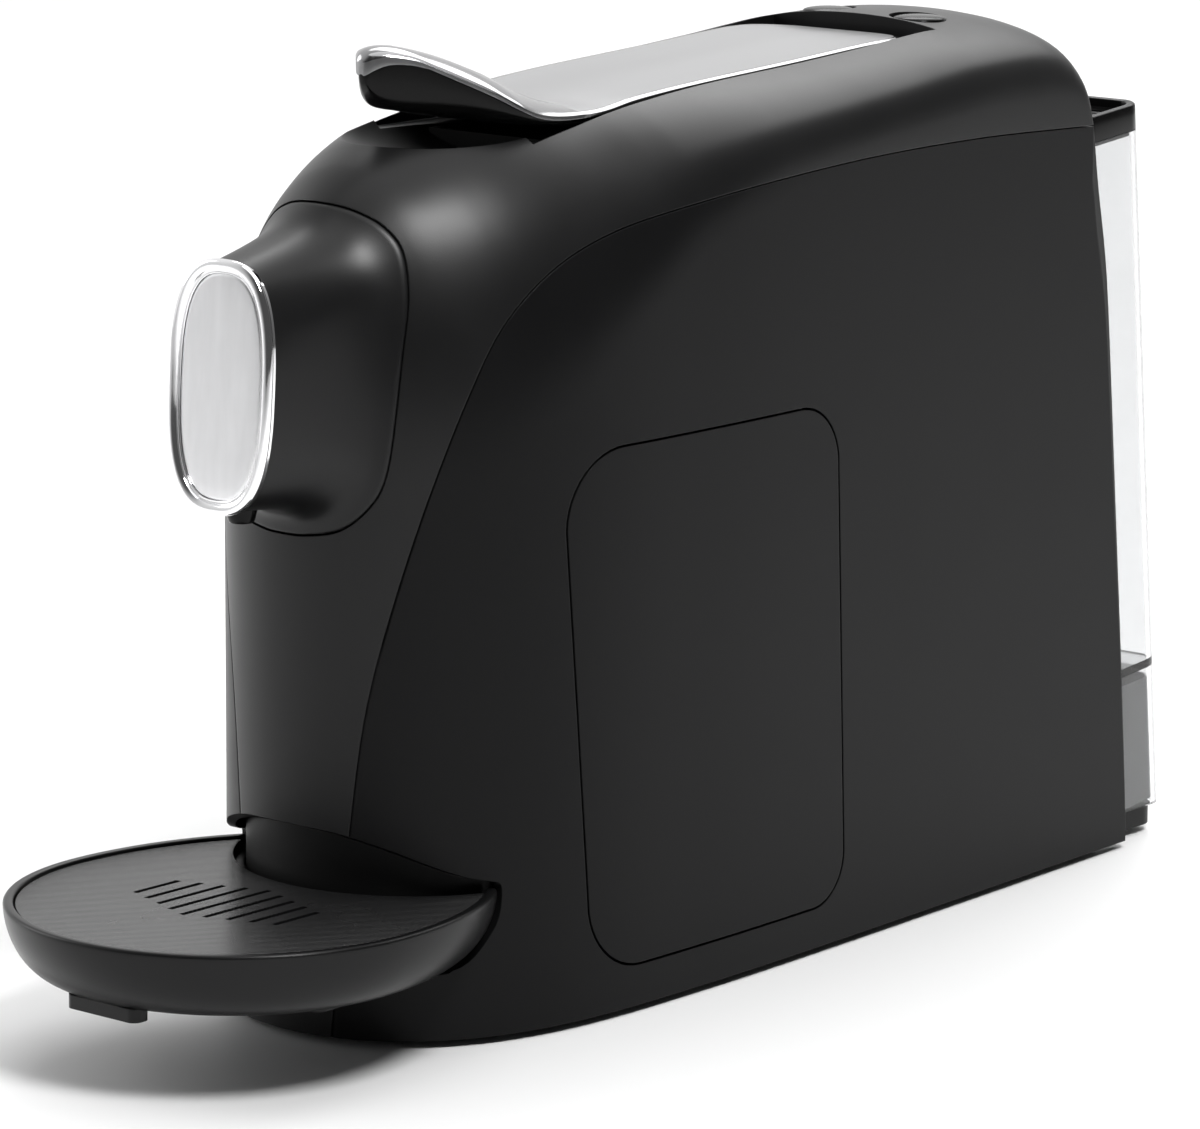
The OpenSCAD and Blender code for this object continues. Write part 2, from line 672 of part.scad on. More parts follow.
module button(x) {
    color("#0e0e0f") place() translate([x, button_y, 0]) {
        translate([0, 0, 237.9]) rod(button_r, 5.1);
        difference() {
            translate([0, 0, 236.4]) rod(button_r + 1.2, 1.6);
            translate([-20, channel_back - button_y - 38.6, 230]) cube([40, 40, 12]);
        }
        translate([0, 0, 231.4]) rod(2.4, 6);
    }
}
module button_left() { button(-button_x); }
module button_right() { button(button_x); }
module dome(x) {
    color("#7c7f84") place() translate([x, button_y, board_z + 1.62]) difference() {
        cylinder(r1 = 6.6, r2 = 4.4, h = 10.7);
        translate([0, 0, -0.1]) cylinder(r1 = 5.6, r2 = 3.4, h = 11);
    }
}
module dome_left() { dome(-button_x); }
module dome_right() { dome(button_x); }
module control_board() {
    color("#1d5c38") place() difference() {
        translate([-30, 250.5, board_z]) cube([60, 36, 1.6]);
        translate([-6, 200, 200]) cube([12, 52, 60]);
        for (x = [-26, 26], y = [283]) translate([x, y, 200]) rod(1.6, 60);
    }
    color("#3a3a3c") place() for (x = [-22, 14], y = [270])
        translate([x, y, board_z - 6]) cube([9, 12, 6.01]);
}
module button_switches() {
    color("#9a9a9c") place() for (x = [-button_x, button_x]) translate([x, button_y, board_z + 1.62]) {
        translate([-2.8, -2.8, 0]) cube([5.6, 5.6, 3]);
        rod(1.5, 4.1);
    }
}

// ---- water tank, drawn in its own leaning frame -------------------------------------

module tank_ring(inset) {
    translate([0, -tank_depth / 2]) slab(2 * tank_half_w - 2 * inset, tank_depth - 2 * inset, 7 - inset);
}
module water_tank() {
    color("#dfe6ea", 0.4) place() leaning() difference() {
        linear_extrude(tank_top - 8) tank_ring(0);
        translate([0, 0, 44.5]) linear_extrude(200) tank_ring(tank_wall);
        translate([0, 0, -1]) linear_extrude(43) tank_ring(tank_wall);
        translate([0, valve_y, 30]) rod(6.2, 30);
        translate([-7, -tank_depth - 1, -1]) cube([14, 5, 24]);
        rotate([-tank_lean, 0, 0]) translate([-60, -60, -10]) cube([120, 120, 10.2]);
    }
}
module tank_collar() {
    color("#1c1c1e") place() leaning() difference() {
        union() {
            translate([0, 0, tank_top - 7.95]) linear_extrude(7.5) tank_ring(-0.3);
            translate([0, 0, tank_top - 13]) linear_extrude(5.1) tank_ring(tank_wall + 0.1);
        }
        translate([0, 0, tank_top - 20]) linear_extrude(20) tank_ring(tank_wall + 2.4);
        translate([0, 0, tank_top - 3.2]) linear_extrude(5) tank_ring(2.4);
        translate([0, flap_y, flap_z]) along_x(-38.2, 38.2, 1.25);
    }
    // ledge that the flap's front edge rests on
    color("#1c1c1e") place() leaning() translate([-20, 2.35 - tank_depth, flap_z - 2.6]) cube([40, 4, 1.5]);
}
module tank_flap() {
    color("#232325") place() leaning() {
        difference() {
            translate([0, 0, flap_z - 1]) linear_extrude(2) tank_ring(tank_wall + 3.2);
            translate([-50, flap_y, flap_z - 5]) cube([100, 20, 10]);
        }
        translate([0, flap_y, flap_z]) {
            along_x(-34, 34, 1.4);
            for (s = [0, 1]) mirror([s, 0, 0]) along_x(33.9, 37.6, 1.2);
        }
    }
}
module valve_body() {
    color("#2a2a2c") place() leaning() translate([0, valve_y, 0]) difference() {
        union() {
            translate([0, 0, 28]) rod(6, 19);
            translate([0, 0, 39.7]) rod(9, 2.2);
        }
        translate([0, 0, 20]) rod(3.8, 23);
        translate([0, 0, 20]) rod(2.3, 40);
    }
}
module valve_poppet() {
    color("#d0d0c8") place() leaning() translate([0, valve_y, 0]) {
        translate([0, 0, 29.6]) rod(1.8, 18);
        translate([0, 0, 47.1]) rod(5.4, 2);
        translate([0, 0, 30.4]) rod(3.3, 1.2);
    }
}
// Round wire swept along points: one ring of sides for each point
function ring(c, t, r, sides) = let (u = t / norm(t),
    v = cross(u, abs(u[2]) < 0.8 ? [0, 0, 1] : [1, 0, 0]), a = v / norm(v), b = cross(u, a))
    [for (k = [0 : sides - 1]) c + r * (a * cos(k * 360 / sides) + b * sin(k * 360 / sides))];
module wire(p, r, sides) {
    n = len(p);
    rings = [for (i = [0 : n - 1]) each ring(p[i], p[min(i + 1, n - 1)] - p[max(i - 1, 0)], r, sides)];
    polyhedron(rings, concat([[for (k = [0 : sides - 1]) k]],
        [for (i = [0 : n - 2]) for (k = [0 : sides - 1])
            let (a = i * sides + k, b = i * sides + (k + 1) % sides)
            each [[a, a + sides, b + sides], [a, b + sides, b]]],
        [[for (k = [sides - 1 : -1 : 0]) (n - 1) * sides + k]]));
}
module valve_spring() {
    turns = 5;
    color("#c0c0c2") place() leaning() translate([0, valve_y, 32.1])
        wire([for (a = [0 : 30 : turns * 360]) [2.75 * cos(a), 2.75 * sin(a), 0.35 + a / 360 * 2]], 0.3, 8);
}
module tank_dock() {
    color("#77787a") place() difference() {
        union() {
            translate([-30, 323.6, foot_z]) cube([60, 20, 20]);
            leaning() translate([0, valve_y, 12]) rod(9.6, 22);
            translate([0, 0, 20]) along_y(300, 324, 4);
        }
        leaning() translate([0, valve_y, 27.6]) rod(6.1, 30);
        leaning() translate([0, valve_y, 18]) rod(3.6, 30);
        translate([0, 0, 20]) along_y(290, 335, 2.4);
    }
    color("#77787a") place() leaning() translate([0, valve_y, 17]) rod(1.2, 12.3);
}
module tank_shelf() {
    color("#1c1c1e") place() difference() {
        translate([0, 0, 2.2]) linear_extrude(foot_z - 2.3) intersection() {
            translate([0, 330]) slab(2 * tank_half_w - 3, 38, 8);
            translate([-60, 315.2]) square([120, 60]);
        }
        translate([-32, 322, 1]) cube([64, 21, 3.4]);
    }
}
module rubber_feet() {
    color("#2b2b2b") place() for (s = [-1, 1], y = [52, 296]) translate([s * 32, y, 0]) rod(7, 3);
}

// ---- water circuit ------------------------------------------------------------------

module pump_body() {
    color("#e6e2d8") place() translate([pump_x, 0, pump_z]) difference() {
        union() {
            along_y(198, 284, 8.5);
            along_y(204, 210, 11);
            along_y(276, 280, 11);
            along_y(190, 198.1, 4);
            along_y(283.9, 290, 4);
        }
        along_y(180, 300, 1.8);
    }
}
module pump_coil() {
    color("#26282c") place() difference() {
        translate([pump_x - 19, 220, pump_z - 19]) cube([38, 40, 38]);
        translate([pump_x, 0, pump_z]) along_y(200, 300, 8.6);
    }
}
module pump_mounts() {
    color("#3c3c3e") place() for (y = [211.5, 262]) difference() {
        translate([pump_x - 12, y, 6.05]) cube([24, 8, 42]);
        translate([pump_x, 0, pump_z]) along_y(190, 300, 8.6);
    }
}
module boiler() {
    color("#b9bbbe") place() translate([boiler_x, boiler_y, 0]) difference() {
        union() {
            translate([0, 0, 62]) rod(21, 74);
            translate([0, 0, 134]) rod(8, 10);
            translate([0, -2, 55]) rod(4, 8);
        }
        translate([0, 0, 66]) rod(16, 64);
        translate([0, 0, 120]) rod(2.5, 40);
        translate([0, -2, 50]) rod(2, 40);
    }
}
module boiler_bracket() {
    color("#8e9093") place() translate([boiler_x, boiler_y, 0]) {
        difference() {
            translate([-20, -20, 50]) cube([40, 40, 2]);
            translate([0, -2, 40]) rod(5, 30);
        }
        for (x = [-20, 18], y = [-20, 16]) translate([x, y, 6.05]) cube([2, 4, 44]);
        for (a = [45 : 90 : 315]) rotate([0, 0, a]) translate([17, 0, 51.9]) rod(2.4, 10);
    }
}
module thermostats() {
    color("#d9dadc") place() translate([boiler_x, boiler_y, 136.05]) for (a = [40, 220])
        rotate([0, 0, a]) translate([13, 0, 0]) { rod(4.4, 5); translate([-1, -3, 5]) cube([2, 6, 4]); }
}
module flow_meter() {
    color("#d4d0c4") place() translate([pump_x, 268, 84]) difference() {
        union() {
            rod(13, 12);
            translate([0, 0, 6]) along_y(-19, 19, 3.4);
            translate([-3, -3, -25.9]) cube([6, 6, 26]);
        }
        translate([0, 0, 6]) along_y(-25, 25, 1.6);
        translate([0, 0, 2]) rod(10, 8);
    }
}
module suction_hose() {
    color("#c9ccd0") place() wire(smooth([[0, 299.3, 20], [0, 294, 20], [-8, 290, 30], [-6, 296, 60],
        [-12, 298, 84], [-19, 296, 90], [pump_x, 292, 90], [pump_x, 287.4, 90]], 3), 2.6, 8);
}
module pressure_hose() {
    color("#e8e8ea") place() wire(smooth([[pump_x, 189.2, pump_z], [pump_x + 1, 186, pump_z + 1],
        [-12, 184.5, 40], [6, 186, 46], [12, 196, 44], [boiler_x - 4, 210, 36],
        [boiler_x, boiler_y - 4, 38], [boiler_x, boiler_y - 2, 48], [boiler_x, boiler_y - 2, 54.6]], 3),
        2.2, 8);
}
module cord_gland() {
    color("#1a1a1b") place() translate([0, 300, 12]) difference() {
        union() {
            along_x(-46.4 - wall - 1.4, -40, 6);
            along_x(-50, -46.6, 8);
        }
        along_x(-60, -30, 3.6);
    }
}

// ---- fasteners ----------------------------------------------------------------------

module screw(len) { rod(1.45, len); translate([0, 0, len - 0.01]) rod(2.8, 1.6); }
module panel_screws() {
    color("#8a8a8c") place() leaning() for (x = [-38, 38], z = [20, 180])
        translate([x, -tank_depth - 3.7 + wall, z]) rotate([-90, 0, 0]) rod(2.6, 1.2);
}
module frame_screws() {
    color("#8a8a8c") place() {
        for (s = [0, 1], m = [[72, 5.9], [158, 11.4]]) mirror([s, 0, 0])
            translate([frame_x + frame_t - m[1], m[0], 190]) rotate([0, 90, 0]) screw(m[1] + 0.05);
        for (s = [-1, 1], y = post_ys) translate([s * post_x, y, 159.05]) rod(2.8, 1.8);
    }
}

base_frame();
central_shell();
front_skirt();
side_panel_right();
side_panel_left();
rear_panel();
tray_recess();
head_cover();
badge_bezel();
badge_plate();
spout_nozzle();
coffee_duct();
tray_bracket();
drip_tray();
drip_grille();
pod_drawer();
drawer_front();
drawer_grid();
drawer_catch();
lever_body();
lever_plate();
lever_pin();
lever_sector();
idler_gear();
idler_pin();
brew_frame();
rod_guide();
brew_piston();
piston_seal();
brew_chamber();
pierce_plate();
pod_chute();
button_left();
button_right();
dome_left();
dome_right();
control_board();
button_switches();
water_tank();
tank_collar();
tank_flap();
valve_body();
valve_poppet();
valve_spring();
tank_dock();
tank_shelf();
rubber_feet();
pump_body();
pump_coil();
pump_mounts();
boiler();
boiler_bracket();
thermostats();
flow_meter();
suction_hose();
pressure_hose();
cord_gland();
panel_screws();
frame_screws();
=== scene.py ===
"""Pod coffee machine: the look of the machine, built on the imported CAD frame."""
import math

import bmesh
import bpy
import numpy as np
from mathutils import Matrix, Vector


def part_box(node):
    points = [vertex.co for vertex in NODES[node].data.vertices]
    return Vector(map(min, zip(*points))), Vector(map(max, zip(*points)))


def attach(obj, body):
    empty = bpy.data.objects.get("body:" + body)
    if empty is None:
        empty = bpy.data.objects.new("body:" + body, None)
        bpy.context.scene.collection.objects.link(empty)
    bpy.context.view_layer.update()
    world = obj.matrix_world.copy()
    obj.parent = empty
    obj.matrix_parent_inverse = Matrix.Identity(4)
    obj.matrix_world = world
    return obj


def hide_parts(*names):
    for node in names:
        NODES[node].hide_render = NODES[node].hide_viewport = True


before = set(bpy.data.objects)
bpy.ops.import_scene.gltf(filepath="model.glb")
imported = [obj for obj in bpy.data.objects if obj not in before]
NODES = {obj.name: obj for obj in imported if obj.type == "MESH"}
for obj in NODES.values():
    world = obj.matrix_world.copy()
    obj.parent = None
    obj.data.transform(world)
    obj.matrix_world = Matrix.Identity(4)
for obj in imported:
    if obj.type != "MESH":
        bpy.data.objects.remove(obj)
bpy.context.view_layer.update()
MM = 0.001

# ---- places, read from the frame ------------------------------------------------------
# Shapes are written in millimetres, with Y measured from the spout's axis.


def node_box(name):
    lo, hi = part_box(name)
    return lo / MM, hi / MM


NOZZLE_Y = 2.5  # the nozzle stands this far behind the spout's axis
TAB = 2.5  # the tray's tabs hang this far below its floor
SPOUT_Y = sum(c.y for c in node_box("spout_nozzle")) / 2 - NOZZLE_Y
BODY_W = node_box("side_panel_right")[1].x
BODY_TOP = node_box("central_shell")[1].z
BODY_FRONT = node_box("central_shell")[0].y - SPOUT_Y
TRAY_R = node_box("drip_tray")[1].x
TRAY_Z = node_box("drip_tray")[1].z
TRAY_FLOOR = node_box("drip_tray")[0].z + TAB
GRILLE_Z = node_box("drip_grille")[1].z
LEVER_W = node_box("lever_plate")[1].x
BADGE_LO, BADGE_HI = node_box("badge_bezel")
NOSE = 105.6  # length of the rounded front
NOSE_POWER, PLAN_POWER = 3.5, 2.04
TAPER, TAPER_START = 0.047, 40.0  # slope of the sides behind the nose, and how softly it starts
SEAM = 0.4
WALL = 2.2
SKIRT = 2.0


def to_frame(points):
    p = np.array(points, float).reshape(-1, 3)
    p[:, 1] += SPOUT_Y
    return p * MM


# ---- the body's surface ---------------------------------------------------------------


def smooth_line(points, steps=8):
    p = np.array(points, float)
    q = np.vstack([2 * p[0] - p[1], p, 2 * p[-1] - p[-2]])
    out = []
    for i in range(len(p) - 1):
        a, b, c, d = q[i : i + 4]
        for t in np.arange(steps) / steps:
            out.append(0.5 * (2 * b + (c - a) * t + (2 * a - 5 * b + 4 * c - d) * t**2
                              + (3 * b - a - 3 * c + d) * t**3))
    out.append(p[-1])
    return np.array(out)


# lines in the side view, as (y, z): the top, where the top starts to round over, and the side panels' seam;
# SQUARE is (y, power) of the rounding, higher for squarer
TOP = smooth_line([
    (BODY_FRONT, 190), (19, 197), (26, 208.8), (37, 218.8), (47, 224.4), (56, 228.3), (66, 231.3),
    (80, 233.3), (96, 234.4), (110, 235.3), (123, 236), (148, 237.3), (187, 238.9), (215, 240.7),
    (232, 242.1), (246, BODY_TOP), (272, BODY_TOP), (286, 240.5), (293, 234), (296, 225), (297.5, 211.5),
    (300, 196), (305, 173), (308, 150), (313, 103), (318, 56), (321, 24), (323, 0)])
SHOULDER = smooth_line([
    (BODY_FRONT, 145), (45, 147), (90, 176), (110, 190), (123, 197), (148, 205.5), (187, 209.5),
    (215, 210.5), (330, 210.5)])
SQUARE = smooth_line([
    (BODY_FRONT, 2.25), (45, 2.3), (90, 2.5), (110, 2.75), (123, 2.95), (148, 3.25), (187, 3.9),
    (215, 4.4), (250, 5.0), (330, 5.0)])
SEAM_LINE = smooth_line([
    (20, -20), (20, 0), (21.5, 50), (24.5, 95), (32, 136), (42, 166), (56, 187), (80, 201),
    (120, 208.5), (180, 212.5), (240, 213), (298, 211)])


def at(line, y):
    return np.interp(y, line[:, 0], line[:, 1])


def half_w(y):
    y = np.asarray(y, float)
    s = np.clip((y - BODY_FRONT) / NOSE, 0, 1)
    return np.where(
        s < 1, BODY_W * (1 - (1 - s) ** NOSE_POWER) ** (1 / PLAN_POWER),
        BODY_W - TAPER * (np.hypot(np.maximum(y - BODY_FRONT - NOSE, 0), TAPER_START) - TAPER_START))


def shoulder(y):
    return np.minimum(at(SHOULDER, y), at(TOP, y) - 0.6)


def body_value(p):
    """Below 0 inside the body, above 0 outside."""
    x, y, z = np.abs(p[:, 0]), p[:, 1], p[:, 2]
    s = np.clip((y - BODY_FRONT) / NOSE, -0.05, 1)
    open_front = 1 - np.sign(1 - s) * np.abs(1 - s) ** NOSE_POWER
    scale = np.where(s < 1, BODY_W, half_w(y))
    base = shoulder(y)
    t = np.clip((z - base) / (at(TOP, y) - base), 0, 1.3)
    return (x / scale) ** PLAN_POWER - open_front + open_front * t ** at(SQUARE, y)


def body_normals(p, h=0.05):
    g = np.empty_like(p)
    for k in range(3):
        step = np.zeros(3)
        step[k] = h
        g[:, k] = body_value(p + step) - body_value(p - step)
    length = np.linalg.norm(g, axis=1, keepdims=True)
    return g / np.maximum(length, 1e-12)


def front_y(x, z):
    """Distance back from the spout's axis to the body's surface at x, z."""
    x, z = np.broadcast_arrays(np.asarray(x, float), np.asarray(z, float))
    lo, hi = np.full(x.shape, BODY_FRONT - 0.5), np.full(x.shape, 125.0)
    for _ in range(40):
        mid = (lo + hi) / 2
        inside = body_value(np.stack([x.ravel(), mid.ravel(), z.ravel()], 1)).reshape(x.shape) < 0
        hi = np.where(inside, mid, hi)
        lo = np.where(inside, lo, mid)
    return (lo + hi) / 2


# ---- mesh helpers ---------------------------------------------------------------------


def make(name, verts, faces, smooth=True):
    mesh = bpy.data.meshes.new(name)
    mesh.from_pydata([tuple(v) for v in to_frame(verts)], [], [tuple(f) for f in faces])
    mesh.validate()
    bm = bmesh.new()
    bm.from_mesh(mesh)
    bmesh.ops.remove_doubles(bm, verts=bm.verts, dist=1e-7)
    bmesh.ops.recalc_face_normals(bm, faces=bm.faces)
    bm.to_mesh(mesh)
    bm.free()
    mesh.polygons.foreach_set("use_smooth", [smooth] * len(mesh.polygons))
    obj = bpy.data.objects.new(name, mesh)
    bpy.context.scene.collection.objects.link(obj)
    return obj


def loft(name, rings, closed_ends=True):
    """Skin through closed rings of equally many points."""
    n = len(rings[0])
    verts = np.vstack(rings)
    faces = []
    for i in range(len(rings) - 1):
        for k in range(n):
            a, b = i * n + k, i * n + (k + 1) % n
            faces.append((a, b, b + n, a + n))
    if closed_ends:
        faces.append(tuple(range(n))[::-1])
        faces.append(tuple(range((len(rings) - 1) * n, len(rings) * n)))
    return make(name, verts, faces)


def prism(outline, axis, lo, hi, name="cutter"):
    """Outline of (y, z), (x, z) or (x, y) points spread along axis x, y or z."""
    o = np.array(outline, float)
    rings = []
    for level in (lo, hi):
        r = np.empty((len(o), 3))
        others = [k for k in range(3) if k != "xyz".index(axis)]
        r[:, "xyz".index(axis)] = level
        r[:, others[0]] = o[:, 0]
        r[:, others[1]] = o[:, 1]
        rings.append(r)
    return loft(name, rings)


def block(x0, x1, y0, y1, z0, z1):
    return prism([(x0, y0), (x1, y0), (x1, y1), (x0, y1)], "z", z0, z1)


def circle(x, y, r, n):
    a = np.arange(n) * 2 * math.pi / n
    return np.stack([x + r * np.cos(a), y + r * np.sin(a)], 1)


def rod_z(x, y, r, z0, z1, n=96):
    return prism(circle(x, y, r, n), "z", z0, z1)


def circle_ring(x, y, r, z, n=64):
    return np.column_stack([circle(x, y, r, n), np.full(n, z)])


def racetrack(w, h, r, n=16):
    """Rounded rectangle about the origin, counter-clockwise."""
    out = []
    for i, (sx, sy) in enumerate(((1, 1), (-1, 1), (-1, -1), (1, -1))):
        for k in range(n + 1):
            a = math.pi / 2 * (i + k / n)
            out.append((sx * (w / 2 - r) + r * math.cos(a), sy * (h / 2 - r) + r * math.sin(a)))
    return np.array(out)


def combine(obj, tool, mode):
    """Boolean of obj with tool; the tool is used up."""
    m = obj.modifiers.new("cut", "BOOLEAN")
    m.operation = mode
    m.object = tool
    m.solver = "MANIFOLD"
    dg = bpy.context.evaluated_depsgraph_get()
    mesh = bpy.data.meshes.new_from_object(obj.evaluated_get(dg))
    obj.modifiers.clear()
    if not mesh.polygons:
        raise RuntimeError(f"{obj.name}: the {mode} with {tool.name} left nothing")
    old = obj.data
    obj.data = mesh
    mesh.name = obj.name
    bpy.data.meshes.remove(old)
    old = tool.data
    bpy.data.objects.remove(tool)
    bpy.data.meshes.remove(old)
    return obj


def body_shading(obj, near=0.2):
    """Takes the normals of faces that lie on the body's surface from the surface itself."""
    mesh = obj.data
    n = len(mesh.loops)
    co = np.empty(len(mesh.vertices) * 3)
    mesh.vertices.foreach_get("co", co)
    co = co.reshape(-1, 3) / MM
    co[:, 1] -= SPOUT_Y
    true = body_normals(co)
    step = 0.05
    slope = (body_value(co + step * true) - body_value(co - step * true)) / (2 * step)
    away = np.abs(body_value(co)) / np.maximum(slope, 1e-6)
    loop_vertex = np.empty(n, int)
    mesh.loops.foreach_get("vertex_index", loop_vertex)
    count = np.empty(len(mesh.polygons), int)
    mesh.polygons.foreach_get("loop_total", count)
    flat = np.empty(len(mesh.polygons) * 3)
    mesh.polygons.foreach_get("normal", flat)
    flat = np.repeat(flat.reshape(-1, 3), count, axis=0)
    corner = true[loop_vertex]
    first = np.concatenate([[0], np.cumsum(count)[:-1]])
    furthest = np.repeat(np.maximum.reduceat(away[loop_vertex], first), count)
    on = (furthest < near) & ((corner * flat).sum(1) > -0.2)
    mesh.set_sharp_from_angle(angle=math.radians(35))
    auto = np.empty(n * 3)
    mesh.corner_normals.foreach_get("vector", auto)
    auto = auto.reshape(-1, 3)
    auto[on] = corner[on]
    mesh.polygons.foreach_set("use_smooth", [True] * len(mesh.polygons))
    mesh.normals_split_custom_set([tuple(v) for v in auto])
    return obj


def creased(obj, angle=35):
    obj.data.polygons.foreach_set("use_smooth", [True] * len(obj.data.polygons))
    obj.data.set_sharp_from_angle(angle=math.radians(angle))
    return obj


# ---- materials ------------------------------------------------------------------------


def material(name, base, rough, metal=0.0, other=None, spread=0.05, grain=0.0, grain_size=0.5,
             soft_size=25.0, coat=0.0, stretch=None, edge=0.0, **sockets):
    """A surface with uneven colour and gloss, a fine grain, and softened edges.

    grain is the depth in mm, grain_size its scale in mm, edge the radius of the edges in mm.
    """
    mat = bpy.data.materials.new(name)
    mat.use_nodes = True
    nt = mat.node_tree
    shader = nt.nodes["Principled BSDF"]
    shader.inputs["Metallic"].default_value = metal
    shader.inputs["Coat Weight"].default_value = coat
    for key, value in sockets.items():
        shader.inputs[key.replace("_", " ")].default_value = value
    coord = nt.nodes.new("ShaderNodeTexCoord")
    place = nt.nodes.new("ShaderNodeMapping")
    place.inputs["Scale"].default_value = stretch or (1, 1, 1)
    nt.links.new(coord.outputs["Object"], place.inputs["Vector"])
    cloud = nt.nodes.new("ShaderNodeTexNoise")
    cloud.inputs["Scale"].default_value = 1 / (soft_size * MM)
    cloud.inputs["Detail"].default_value = 4
    nt.links.new(place.outputs[0], cloud.inputs["Vector"])
    mix = nt.nodes.new("ShaderNodeMix")
    mix.data_type = "RGBA"
    mix.inputs["A"].default_value = (*base, 1)
    mix.inputs["B"].default_value = (*(other or [c * 1.25 for c in base]), 1)
    nt.links.new(cloud.outputs["Fac"], mix.inputs["Factor"])
    nt.links.new(mix.outputs["Result"], shader.inputs["Base Color"])
    span = nt.nodes.new("ShaderNodeMapRange")
    span.inputs["To Min"].default_value = max(rough - spread, 0.0)
    span.inputs["To Max"].default_value = rough + spread
    nt.links.new(cloud.outputs["Fac"], span.inputs["Value"])
    nt.links.new(span.outputs[0], shader.inputs["Roughness"])
    normal = None
    if edge:
        soften = nt.nodes.new("ShaderNodeBevel")
        soften.samples = 4
        soften.inputs["Radius"].default_value = edge * MM
        normal = soften.outputs[0]
    if grain:
        fine = nt.nodes.new("ShaderNodeTexNoise")
        fine.inputs["Scale"].default_value = 1 / (grain_size * MM)
        fine.inputs["Detail"].default_value = 2
        nt.links.new(place.outputs[0], fine.inputs["Vector"])
        bump = nt.nodes.new("ShaderNodeBump")
        bump.inputs["Strength"].default_value = 1.0
        bump.inputs["Distance"].default_value = grain * MM
        nt.links.new(fine.outputs["Fac"], bump.inputs["Height"])
        if normal:
            nt.links.new(normal, bump.inputs["Normal"])
        normal = bump.outputs[0]
    if normal:
        nt.links.new(normal, shader.inputs["Normal"])
    return mat


def ribbed(mat, pitch, depth, angle=45):
    """Adds fine straight ribs, pitch and depth in mm, to a material's relief."""
    nt = mat.node_tree
    shader = nt.nodes["Principled BSDF"]
    coord = nt.nodes.new("ShaderNodeTexCoord")
    turn = nt.nodes.new("ShaderNodeMapping")
    turn.inputs["Rotation"].default_value = (0, 0, math.radians(angle))
    nt.links.new(coord.outputs["Object"], turn.inputs["Vector"])
    wave = nt.nodes.new("ShaderNodeTexWave")
    wave.wave_profile = "SIN"
    wave.inputs["Scale"].default_value = 2 * math.pi / (20 * pitch * MM)
    nt.links.new(turn.outputs[0], wave.inputs["Vector"])
    bump = nt.nodes.new("ShaderNodeBump")
    bump.inputs["Strength"].default_value = 1.0
    bump.inputs["Distance"].default_value = depth * MM
    nt.links.new(wave.outputs["Fac"], bump.inputs["Height"])
    before = shader.inputs["Normal"].links
    if before:
        nt.links.new(before[0].from_socket, bump.inputs["Normal"])
    nt.links.new(bump.outputs[0], shader.inputs["Normal"])
    return mat


M = {
    "shell_black": material(
        "shell_satin", (0.0055, 0.0055, 0.0057), 0.34, grain=0.012, grain_size=0.35, edge=0.35,
        Specular_IOR_Level=0.27),
    # painted shade: the side panels and the drawer get a copy of the shell's satin black with a darker colour
    # and weaker gloss, standing in for the smaller amount of light that falls on the sides
    "side_black": material(
        "side_satin_painted_shade", (0.0045, 0.0045, 0.0047), 0.34, grain=0.010, grain_size=0.35, edge=0.35,
        Specular_IOR_Level=0.11),
    "dark_plastic": material(
        "inner_plastic", (0.006, 0.006, 0.006), 0.5, grain=0.02, grain_size=0.6, Specular_IOR_Level=0.2),
    "gloss_black": material(
        "gloss_plastic", (0.003, 0.003, 0.003), 0.2, grain=0.002, grain_size=1.5, edge=0.3,
        Specular_IOR_Level=0.13),
    "tray_black": material(
        "tray_satin", (0.0045, 0.0045, 0.0047), 0.3, grain=0.010, grain_size=0.35, edge=0.5,
        Specular_IOR_Level=0.22),
    "grille_black": ribbed(material(
        "grille_plate", (0.008, 0.008, 0.0083), 0.26, grain=0.004, grain_size=0.4,
        Specular_IOR_Level=1.0), pitch=1.2, depth=0.24, angle=52),
    "badge_chrome": material(
        "polished_chrome", (0.82, 0.82, 0.83), 0.07, 1.0, spread=0.03, grain=0.001, grain_size=3.0,
        edge=0.15),
    "badge_satin": material(
        "satin_plate", (0.70, 0.70, 0.71), 0.36, 1.0, grain=0.003, grain_size=0.25, stretch=(6, 1, 1)),
    "lever_metal": material(
        "brushed_plate", (0.32, 0.32, 0.325), 0.30, 1.0, grain=0.004, grain_size=0.3,
        stretch=(1, 0.04, 1)),
    "lever_edge": material(
        "rolled_edge", (0.30, 0.30, 0.305), 0.32, 1.0, spread=0.04, grain=0.002, grain_size=0.6),
    "lever_polish": material(
        "polished_rim", (0.31, 0.31, 0.315), 0.14, 1.0, spread=0.03, grain=0.001, grain_size=2.0),
    "steel": material("turned_steel", (0.45, 0.45, 0.46), 0.32, 1.0, grain=0.004, grain_size=0.4),
    "cast_metal": material("cast_alloy", (0.36, 0.36, 0.37), 0.5, 1.0, grain=0.04, grain_size=0.8),
    "nylon": material("pale_nylon", (0.55, 0.53, 0.48), 0.45, grain=0.01, grain_size=0.6),
    "rubber_grey": material("grey_rubber", (0.05, 0.05, 0.052), 0.7, grain=0.03, grain_size=0.5),
    "seal_red": material("seal_silicone", (0.28, 0.03, 0.02), 0.5, grain=0.01, grain_size=0.6),
    "dock_grey": material("dock_plastic", (0.17, 0.17, 0.175), 0.4, grain=0.01, grain_size=0.5),
    "board_green": material("board_resin", (0.01, 0.09, 0.035), 0.35, grain=0.02, grain_size=1.2),
    "coil_black": material(
        "wound_coil", (0.015, 0.013, 0.012), 0.4, grain=0.1, grain_size=0.5, stretch=(8, 1, 1)),
    "silicone": material(
        "milky_silicone", (0.62, 0.62, 0.60), 0.35, grain=0.004, grain_size=0.8,
        Transmission_Weight=0.35),
    "clear_tank": material(
        "clear_plastic", (0.84, 0.845, 0.85), 0.05, spread=0.02, other=(0.80, 0.805, 0.81),
        grain=0.002, grain_size=6.0, Transmission_Weight=1.0, IOR=1.46),
}


